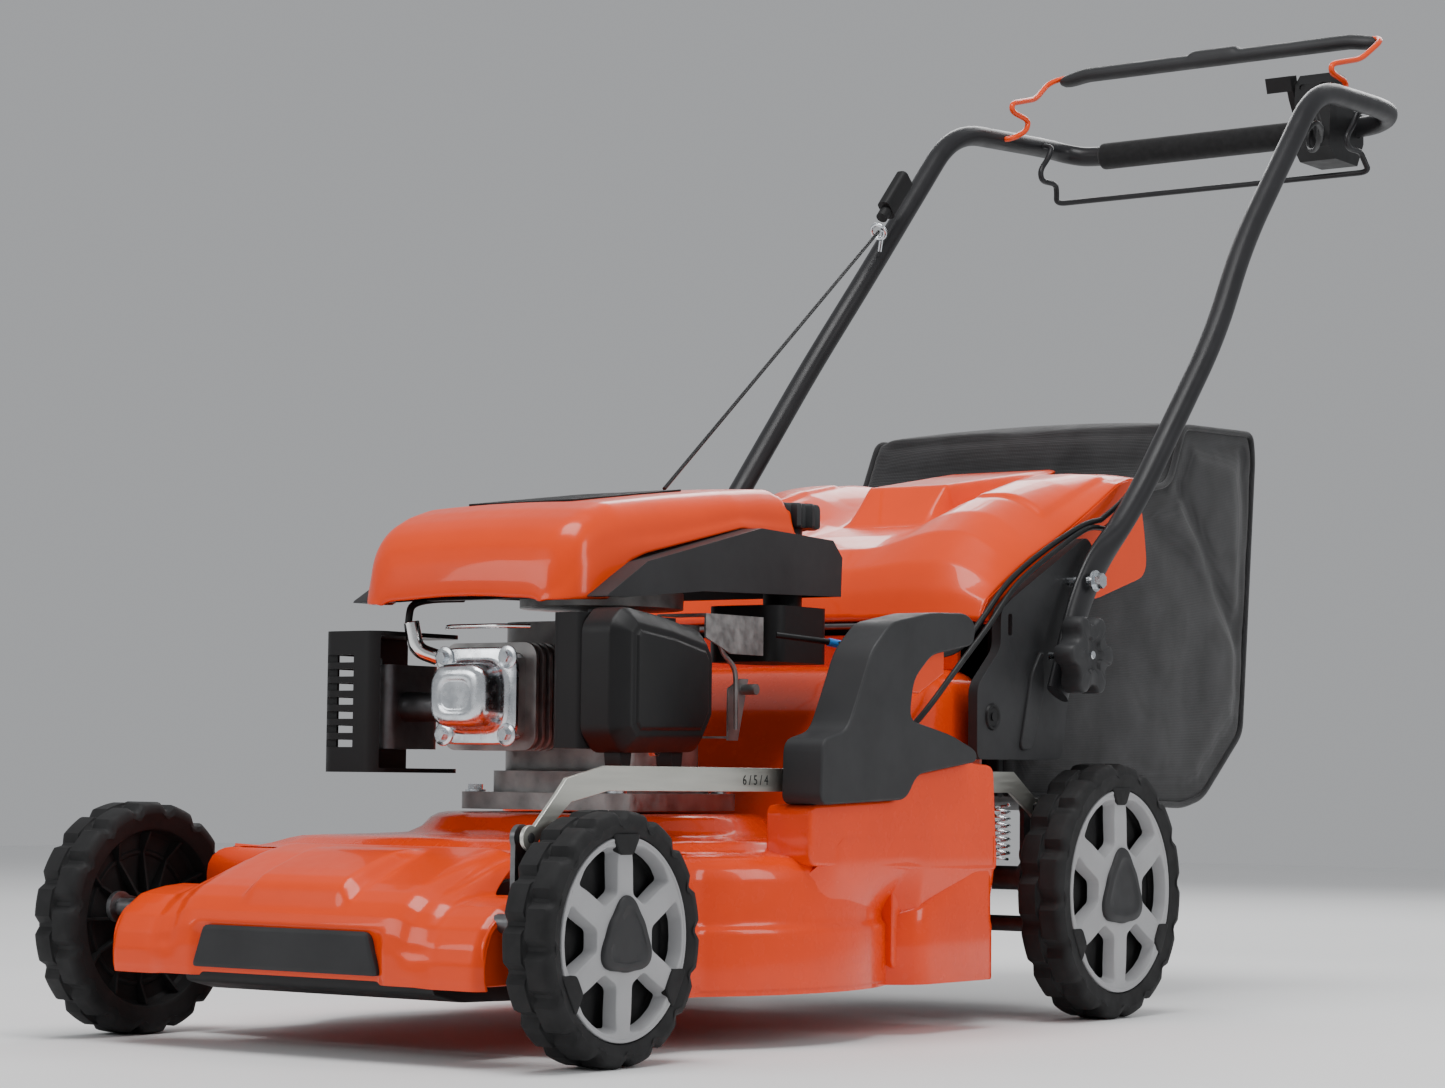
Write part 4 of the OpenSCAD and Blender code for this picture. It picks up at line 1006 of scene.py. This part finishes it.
def engine_trim():
    """Small metal pieces on the engine's near side, and the spark plug's lead and boot."""
    rod = sweep(bent([(52, 168, 372), (30, 150, 372), (-30, 150, 372), (-44, 166, 372)], 10), 2.2, 12)
    piece("governor_rod", *rod, CHROME, "deck")
    lead = flowing([(-64, 174, 346), (-76, 163, 350), (-82, 157, 364), (-82, 156.5, 384), (-81, 162, 394),
                    (-75, 180, 399), (-60, 208, 401)])
    piece("spark_plug_wire", *sweep(lead, 3.4, 14), CABLE, "deck", ["spark_plug_lead"])
    boot = sweep(bent([(-62, 175, 345), (-77, 161, 352), (-80, 157, 378)], 10), 7.4, 18)
    softened(piece("spark_plug_boot", *boot, CHROME, "deck"), 1.2)
    plate = [(222, 336), (222, 362), (262, 362), (262, 350), (244, 346), (244, 336)]
    block("throttle_plate", plate, 3, (158, 160), ZINC, 0.4)
    screw = [(0, 3.4), (3.4, 3.2), (4.4, 2), (4.4, 0), (0, 0)]
    for k, (y, z) in enumerate(((230, 354), (254, 356))):
        piece("throttle_screw_%d" % k, *lathe(screw, (160, y, z), "x", 20), ZINC, "deck")
    nut = [(0, 6), (6.2, 6), (7, 4.5), (7, 0), (0, 0)]
    for k, (y, z) in enumerate(((214, 262), (254, 358))):
        piece("filter_nut_%d" % k, *lathe(nut, (156, y, z), "x", 6), ZINC, "deck")


def engine():
    engine_cover()
    filter_cover()
    valve_cover()
    fuel_cap()
    engine_trim()


# ---------------------------------------------------------------- lift grip, brackets and link bar


def lift_grip():
    """The tower with its trigger slot, and the height numbers on the link bar before it."""
    outline = [
        (289, 214), (291, 272), (331, 281), (347, 309), (371, 355), (404, 382), (473, 394), (536, 396),
        (552, 386), (549, 366), (474, 354), (443, 330), (436, 293), (510, 280), (555, 266), (556, 255),
        (449, 242), (432, 219)]
    body = slab(rounded_outline(outline, 12, 4), 244.5, 288)
    grip = piece("lift_grip_moulding", *body, CHARCOAL, "deck", ["lift_grip"])
    slot = slab([(436, 320), (436, 372), (520, 372), (520, 340)], 259.4, 276.6)
    cut(grip, piece("trigger_slot", *slot, CHARCOAL))
    softened(grip, 4.5, 4, 40)
    marks = bpy.data.curves.new("height_marks", "FONT")
    marks.body = "6 / 5 / 4"
    marks.size = 0.0125
    marks.extrude = 0.00012
    marks.materials.append(INK)
    text = bpy.data.objects.new("height_marks", marks)
    text.rotation_euler = (math.radians(90), 0, math.radians(90))
    text.location = at(240.2, 236, 231.5)
    bpy.context.scene.collection.objects.link(text)
    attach(text, "link_bar")


BRACKET = [(622, 258), (622, 330), (666, 368), (666, 406), (690, 420), (836, 490), (852, 478), (820, 404),
           (800, 330), (787, 259)]


def side_bracket(side, which):
    """The moulding that carries the handle, with a slot, a rib, a foot, a screw and a catch."""
    body = slab(rounded_outline(BRACKET, 10, 4), side * 236.3, side * 247)
    moulding = piece("side_bracket_moulding_" + which, *body, CHARCOAL, "deck", ["side_bracket_" + which])
    slot = [(684 + a, 392 + b) for a, b in rounded_rect(8, 22, 2.5, 2)]
    cut(moulding, piece("bracket_slot", *slab(slot, side * 225, side * 260), CHARCOAL))
    softened(moulding, 3, 4, 40)
    rib = [(700, 268), (722, 268), (748, 330), (744, 372), (722, 344)]
    block("bracket_rib_" + which, rib, 9, (side * 244, side * 250.5), CHARCOAL, 3.2, 4, 4, 40)
    foot = [(640, 262), (640, 330), (668, 330), (668, 262)]
    block("bracket_foot_" + which, foot, 4, (side * 226.5, side * 237), CHARCOAL, 1.5, n=2)
    screw = [(0, 2.5), (4, 2.5), (4, 1), (9, 1), (10.5, 2.2), (12.5, 2.2), (13.5, 0), (0, 0)]
    piece("bracket_screw_" + which, *lathe(screw, (side * 246.9, 650, 300), "x", 32, side), BLACK, "deck")
    catch = slab([(680, 384), (688, 384), (688, 400), (680, 400)], side * 232, side * 235.5)
    softened(piece("bracket_catch_" + which, *catch, ORANGE_MOULDING, "deck"), 0.6)


def knob(side, which):
    """A six-lobed star knob with a sunk bolt end."""
    body = "knob_" + which
    y, z = 757, 364
    loops = []
    for share, x in ((0.93, 277), (1, 280), (1, 296), (0.975, 299.4), (0.92, 300.8), (0.5, 301), (0.42, 298)):
        loop = []
        for k in range(96):
            a = TAU * k / 96
            wave = math.cos(6 * a)
            r = (36.5 + 6.0 * math.copysign(abs(wave) ** 0.55, wave)) * share
            loop.append(at(side * x, y + r * math.cos(a), z + r * math.sin(a)))
        loops.append(loop)
    piece("knob_star_" + which, *loft(loops), CHARCOAL, body, [body], 45)
    bolt = [(0, 3), (3.6, 3), (4.2, 2.4), (4.2, 0), (0, 0)]
    piece("knob_bolt_" + which, *lathe(bolt, (side * 297.5, y, z), "x", 24, side), ZINC, body)
    shank = [(0, 30), (4, 30), (4, 0), (0, 0)]
    piece("knob_shank_" + which, *lathe(shank, (side * 250, y, z), "x", 24, side), ZINC, body)


# ---------------------------------------------------------------- handle and controls

ARM = [(264, 748, 325), (264, 800, 441), (265, 905, 527), (266, 1082, 722), (252, 1180, 842),
       (249, 1372, 1050), (239, 1590, 1062), (227, 1619, 1058), (197, 1630, 1052), (0, 1630, 1052)]
TUBE_R = 12.5
SLEEVE = (-180, 133.7)
BAIL_HALF = 222
OPS_SIDE = [(247, 1472, 1055), (222, 1472, 1055), (222, 1506, 1070), (222, 1512, 1085), (222, 1470, 1089),
            (222, 1470, 1100), (228, 1540, 1118), (234, 1582, 1146), (224, 1600, 1155), (0, 1600, 1155)]
DRIVE_SIDE = [(244, 1560, 1059), (214, 1560, 1059), (214, 1548, 1040), (214, 1528, 1022), (214, 1532, 1008),
              (214, 1568, 1010), (216, 1574, 1000), (220, 1580, 986), (0, 1580, 986)]


def both_halves(route, radius, sides, shape=None):
    """A bar that is the same on both sides, from a route that ends in the middle."""
    points, faces = sweep(route, radius, sides, shape)
    faces = faces[:-1]
    return joined((points, faces), mirrored(points, faces))


def handle_tube():
    """The bent tube, flattened at its lower ends, and the sleeve on its crossbar."""
    def shape(length):
        flat = 1 - blend_in((length - 150) / 70)
        return 1 - 0.44 * flat, 1 + 0.5 * flat
    route = bent(ARM, 60, 12)
    dense = []
    for a, b in zip(route, route[1:]):
        steps = max(1, int((b - a).length / 14))
        dense += [a.lerp(b, k / steps) for k in range(steps)]
    tube = both_halves(dense + [route[-1]], TUBE_R, 32, shape)
    piece("handle_bar", *tube, TUBE, "handle", ["handle_tube"], 40)
    thin, thick = 12.9, 17.2
    rings = []
    for k in range(121):
        x = SLEEVE[0] + (SLEEVE[1] - SLEEVE[0]) * k / 120
        end = min(1.0, (x - SLEEVE[0]) / 5, (SLEEVE[1] - x) / 5)
        rings.append((thin + (thick - thin) * math.sqrt(max(0.0, 1 - (1 - end) ** 2)), x))
    bar = (0, *ARM[-1][1:])
    sleeve = piece("foam_sleeve", *lathe(rings, bar, "x", 40), FOAM, "handle", ["grip_sleeve"], 60)


def bails():
    """The two wire bails, and the moulding on the one that stops the engine."""
    ops = both_halves(bent(OPS_SIDE, 14, 8), 3.5, 16)
    piece("engine_stop_wire", *ops, ORANGE_WIRE, "ops_bail", ["ops_bail"], 60)
    drive = both_halves(bent(DRIVE_SIDE, 14, 8), 3.5, 16)
    piece("drive_wire", *drive, TUBE, "drive_bail", ["drive_bail"], 60)
    columns, sides = 88, 24

    def section(u, v):
        x = BAIL_HALF * (2 * u - 1)
        end = min(1.0, (BAIL_HALF - abs(x)) / 26)
        big = 0.55 + 0.45 * math.sqrt(max(0.0, 1 - (1 - end) ** 2))
        tab = blend_in((36 - abs(x)) / 8)
        a = TAU * v
        y = 1600 + (15.5 * math.cos(a)) * big
        z = 1155 - 5 * blend_in((abs(x) - 180) / 42) + (9.5 * math.sin(a) + 2 * math.cos(a)) * big
        if math.sin(a) > 0.2:
            z += 4.5 * tab * blend_in((math.sin(a) - 0.2) / 0.3)
        return at(x, y, z)
    points, faces = grid_patch(columns, sides, section)
    ends = [tuple(i + j * (columns + 1) for j in range(sides)) for i in (0, columns)]
    piece("bail_moulding", points, faces + ends, CHARCOAL, "ops_bail", ["bail_grip"], 45)


ROPE = (Vector((-50, 505, 526)), Vector((-226, 1166, 893)))


def cables():
    """The cables down the near arm, and the starter rope."""
    upper = {
        "stop_cable": [
            (156, 1547.6, 1040), (160, 1534, 1022), (176, 1510, 1006), (202, 1474, 1004), (224, 1430, 1026),
            (232, 1390, 1032), (234, 1330, 990), (236, 1200, 850), (244, 1150, 790), (248, 1100, 720),
            (249, 1010, 625), (247.5, 930, 545), (247, 866, 509)],
        "drive_cable": [
            (166, 1547.6, 1048), (174, 1530, 1030), (192, 1500, 1014), (212, 1462, 1014), (230, 1424, 1014),
            (238, 1388, 1012), (241, 1334, 972), (243, 1206, 838), (248, 1160, 778), (250, 1112, 712),
            (250, 1022, 616), (248, 942, 536), (247, 874, 500)]}
    lower = {
        "stop_cable_lower": [
            (247, 866, 509), (244, 830, 500), (240, 760, 470), (240, 690, 434), (239, 640, 394),
            (236, 600, 364),
            (230, 540, 356), (216, 480, 360), (196, 436, 366), (160, 402, 372)],
        "drive_cable_lower": [
            (247, 874, 500), (247.5, 834, 497), (247, 764, 467), (247, 694, 431), (246, 642, 388),
            (241, 596, 348), (232, 560, 310), (232, 520, 284), (232, 478, 262), (232, 466, 232),
            (232, 466, 200)]}
    for name, route in upper.items():
        piece(name, *sweep(flowing(route), 3, 14), CABLE, "handle", ["cables_upper"], 60)
    for name, route in lower.items():
        tube = piece(name, *sweep(flowing(route), 3, 14), CABLE, None, ["cables_lower"], 60)
        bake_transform(tube)
    band = sweep(flowing([(210, 466, 361.4), (203, 450, 363.6), (196, 436, 366)], 4), 3.9, 16)
    piece("cable_band", *band, BLUE, "deck")
    rope = sweep([ROPE[0].lerp(ROPE[1], k / 30) for k in range(31)], 2, 12)
    cord = piece("starter_cord", *rope, CABLE, None, ["starter_rope"], 60)
    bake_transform(cord)


# ---------------------------------------------------------------- flap and bag

# Heights along the flap, as (y, z): in its valley, on its two shoulders and at its edges
FLAP_VALLEY = [(652, 398), (664, 426), (684, 452), (720, 476), (770, 493), (835, 508), (900, 528), (960, 550),
               (1010, 568), (1074, 584)]
FLAP_SHOULDER = [(652, 398), (664, 428), (684, 458), (720, 491), (760, 514), (800, 530), (880, 552),
                 (960, 567), (1074, 580)]
FLAP_EDGE = [(652, 396), (664, 416), (700, 436), (750, 462), (802, 484), (880, 524), (930, 551), (960, 560),
             (1074, 566)]
FLAP_HALF = 230
SHOULDER_X = 150
FLAP_FRONT, FLAP_SIDE_END, FLAP_END = 652, 978, 1074
WEDGE_FOOT, WEDGE_NOSE = (835, 508), (880, 555)


def flap_end(x):
    """The flap is longest behind its central wedge."""
    return FLAP_SIDE_END + (FLAP_END - FLAP_SIDE_END) * blend_in((84 - abs(x)) / 12)


def flap_height(x, y):
    """A valley between two shoulders, with a wedge in its middle and a raised pad on each shoulder."""
    valley, shoulder, edge = (along(line, y) for line in (FLAP_VALLEY, FLAP_SHOULDER, FLAP_EDGE))
    out = abs(x)
    if out < SHOULDER_X:
        z = valley + (shoulder - valley) * blend_in((out - 50) / 90)
    else:
        z = shoulder + (edge - shoulder) * ((out - SHOULDER_X) / (FLAP_HALF - SHOULDER_X)) ** 2.2
    wedge = min(WEDGE_NOSE[1] + 0.16 * (y - WEDGE_NOSE[0]), WEDGE_FOOT[1] + 1.04 * (y - WEDGE_FOOT[0]))
    wedge_half = 45 + 15 * (y - WEDGE_NOSE[0]) / (FLAP_END - WEDGE_NOSE[0])
    z += max(0.0, wedge - z) * blend_in((wedge_half + 17 - out) / 14)
    pad = blend_in((out - 128) / 6) * blend_in((212 - out) / 6) * blend_in((y - 806) / 8)
    return z + 3.5 * pad * blend_in((946 - y) / 8)


def flap():
    """The moulded flap over the chute, with a skirt at each side."""
    def point(u, v):
        x = FLAP_HALF * (2 * u - 1)
        y = FLAP_FRONT + (flap_end(x) - FLAP_FRONT) * v
        return at(x, y, flap_height(x, y))
    thickened(piece("rear_flap", *grid_patch(184, 120, point), ORANGE_MOULDING, "flap", ["flap"], 60), 4)
    top = [(y, along(FLAP_EDGE, y) - 1) for y in range(656, 961, 12)]
    under = [(968, 558), (978, 548), (989, 507), (995, 470), (986, 456), (881, 427), (790, 436), (700, 404),
             (660, 390)]
    outline = top + rounded_outline(under, 12, 3)[4:]
    for side, which in SIDES:
        wall = slab(outline, side * (FLAP_HALF - 4), side * (FLAP_HALF + 1))
        softened(piece("flap_skirt_" + which, *wall, ORANGE_MOULDING, "flap", smooth=40), 1.8, 4, 50)


BAG_SIDE = [(742, 220), (1130, 208), (1178, 218), (1274, 292), (1306, 612), (1300, 643), (1130, 637),
            (1096, 570), (1000, 552), (860, 510), (742, 420)]
BAG_HALF = 205
VOXEL = 0.009
LAST_FRAME = 20


def even_outline(points, spacing):
    """A closed outline with points every spacing or so."""
    result = []
    for a, b in zip(points, points[1:] + points[:1]):
        a, b = Vector(a), Vector(b)
        steps = max(1, round((b - a).length / spacing))
        result += [tuple(a.lerp(b, k / steps)) for k in range(steps)]
    return result


def bag_outline():
    return anticlockwise(even_outline(rounded_outline(BAG_SIDE, 16, 4), 12))


def bag_body():
    """The closed bag: its side outline carried across, and drawn in towards both sides."""
    rim = [(1.0, 26), (1.0, 12), (0.985, 4), (0.95, 0)]
    left = [(-share, inward) for share, inward in rim]
    across = [(0.95 * (k / 15 - 1), 0) for k in range(1, 30)]
    loops = []
    for share, inward in left + across + rim[::-1]:
        loops.append([at(BAG_HALF * share, y, z) for y, z in inset(bag_outline(), inward)])
    return loft(loops)


def on_seam(p):
    """How firmly the bag's seams and mouth hold a point of its cloth, from 0 to 1."""
    x, y, z = in_mm(p)
    near = abs(abs(x) - BAG_HALF) < 16
    edge = min(distance_to_outline(y, z, BAG_SIDE), 60)
    held = 1 - blend_in((edge - 8) / 22) if near else 0.0
    return max(held, 1 - blend_in((y - 748) / 30), 0.85 * (edge < 9 and z > 500 and y < 1110))


def distance_to_outline(y, z, outline):
    """How far (y, z) is from the nearest side of a closed outline."""
    gaps = []
    for a, b in zip(outline, outline[1:] + outline[:1]):
        a, b = Vector(a), Vector(b)
        t = max(0.0, min(1.0, (Vector((y, z)) - a).dot(b - a) / (b - a).length_squared))
        gaps.append((Vector((y, z)) - a.lerp(b, t)).length)
    return min(gaps)


def slack(p):
    """How far a point of the bag is drawn in before its cloth fills out, in millimetres."""
    x, y, z = in_mm(p)
    free = 1 - on_seam(p)
    ripple = noise.noise(Vector((x / 90, y / 75, z / 60)) + Vector((3, 1, 4)))
    if abs(x) > BAG_HALF - 14:
        steep = math.exp(-((z - 560 + 1.15 * (y - 1120)) / 16) ** 2)
        shallow = math.exp(-((z - 470 + 0.5 * (y - 1150)) / 22) ** 2)
        crease = steep + 0.8 * shallow
        return Vector((-math.copysign(1, x) * free * (9 + 3.5 * ripple + 4 * crease), 0, 0))
    if z < 240:
        return Vector((0, 0, free * (7 + 4 * ripple)))
    if y > 1130:
        return Vector((0, -free * (8 + 4 * ripple), 0))
    return Vector((0, 0, -free * (4 + 2 * ripple)))


def filled_out(thing, cap_mm):
    """Cloth simulation of a closed skin: its seams stay, and each other point moves by the cap at most."""
    remesh = thing.modifiers.new("even", "REMESH")
    remesh.mode = "VOXEL"
    remesh.voxel_size = VOXEL
    apply_modifiers(thing)
    held = thing.vertex_groups.new(name="held")
    for vertex in thing.data.vertices:
        held.add([vertex.index], on_seam(vertex.co), "REPLACE")
    draw_in(thing)
    start = [v.co.copy() for v in thing.data.vertices]
    cloth = thing.modifiers.new("cloth", "CLOTH")
    setting = cloth.settings
    setting.use_pressure = True
    setting.uniform_pressure_force = 4
    setting.quality = 6
    setting.mass = 0.2
    setting.tension_stiffness = setting.compression_stiffness = 12
    setting.bending_stiffness = 1.5
    setting.effector_weights.gravity = 0
    setting.vertex_group_mass = "held"
    cloth.point_cache.frame_start, cloth.point_cache.frame_end = 1, LAST_FRAME
    scene = bpy.context.scene
    for frame_number in range(1, LAST_FRAME + 1):
        scene.frame_set(frame_number)
    apply_modifiers(thing)
    scene.frame_set(1)
    for vertex, co in zip(thing.data.vertices, start):
        move = vertex.co - co
        if move.length > cap_mm * MM:
            vertex.co = co + move.normalized() * cap_mm * MM
    shade_smooth(thing.data)


def draw_in(thing):
    for vertex in thing.data.vertices:
        vertex.co += slack(vertex.co) * MM


def open_mouth(thing):
    """Takes the cloth out of the bag's mouth."""
    mouth_y = 746
    work = bmesh.new()
    work.from_mesh(thing.data)
    front = [f for f in work.faces if in_mm(f.calc_center_median())[1] < mouth_y]
    bmesh.ops.delete(work, geom=front, context="FACES")
    work.to_mesh(thing.data)
    work.free()


def bag():
    """One sheet of cloth round the bag, with piping along both side seams."""
    thing = piece("grass_bag_cloth", *bag_body(), FABRIC, "bag", ["grass_bag"], 70)
    filled_out(thing, 11)
    open_mouth(thing)
    thickened(thing, 1.4)
    rounded_more(thing)
    apply_modifiers(thing)
    edge = [(y, z) for y, z in inset(bag_outline(), 4.5) if y > 752]
    first = min((k for k, (y, z) in enumerate(edge) if z < 300), key=lambda k: edge[k])
    for side, which in SIDES:
        route = [(side * (BAG_HALF - 3), y, z) for y, z in edge[first:] + edge[:first]]
        piece("bag_piping_" + which, *sweep(route, 3.6, 10), TAPE, "bag", smooth=60)


# ---------------------------------------------------------------- CAD nodes that stay


def smooth_by_angle(degrees):
    """A geometry node group that shades smooth, except over edges sharper than an angle."""
    group = bpy.data.node_groups.new("smooth_by_angle", "GeometryNodeTree")
    group.interface.new_socket("Geometry", in_out="INPUT", socket_type="NodeSocketGeometry")
    group.interface.new_socket("Geometry", in_out="OUTPUT", socket_type="NodeSocketGeometry")
    start, end = group.nodes.new("NodeGroupInput"), group.nodes.new("NodeGroupOutput")
    faces, edges = (group.nodes.new("GeometryNodeSetShadeSmooth") for _ in range(2))
    edges.domain = "EDGE"
    edges.inputs["Shade Smooth"].default_value = False
    angle = group.nodes.new("GeometryNodeInputMeshEdgeAngle")
    sharper = group.nodes.new("FunctionNodeCompare")
    sharper.operation = "GREATER_THAN"
    sharper.inputs["B"].default_value = math.radians(degrees)
    group.links.new(angle.outputs["Unsigned Angle"], sharper.inputs["A"])
    group.links.new(sharper.outputs["Result"], edges.inputs["Selection"])
    group.links.new(start.outputs[0], faces.inputs["Geometry"])
    group.links.new(faces.outputs["Geometry"], edges.inputs["Geometry"])
    group.links.new(edges.outputs["Geometry"], end.inputs[0])
    return group


def carried_over():
    """Gives each CAD node its slot's material and soft edges."""
    widths = {"control_housing": 3.0, "throttle": 2.0, "blower": 2.5, "latch": 2.0, "muffler_guard": 2.2,
              "air_filter_box": 2.0, "bag_frame": 2.0, "starter_grip": 3.0, "fuel_tank": 3.0,
              "crankcase": 1.2, "link_bar": 0.6}
    shading = smooth_by_angle(30)
    for part in frame["record"]["subparts"]:
        name = part["node"]
        node = frame["nodes"][name]
        node.data.materials.clear()
        node.data.materials.append(SLOTS[part["material_slot"]])
        for polygon in node.data.polygons:
            polygon.material_index = 0
        if node.hide_render:
            continue
        own_normals = node.data.attributes.get("custom_normal")
        if own_normals:
            node.data.attributes.remove(own_normals)
        weld = node.modifiers.new("weld", "WELD")
        weld.merge_threshold = 0.00001
        shaded = node.modifiers.new("shading", "NODES")
        shaded.node_group = shading
        width = next((w for key, w in widths.items() if name.startswith(key)), 0.5)
        softened(node, width, 3, 35)


camera()
studio()
wheels()
deck()
front_shroud()
engine()
lift_grip()
for direction, label in SIDES:
    side_bracket(direction, label)
    knob(direction, label)
handle_tube()
bails()
cables()
flap()
bag()
carried_over()
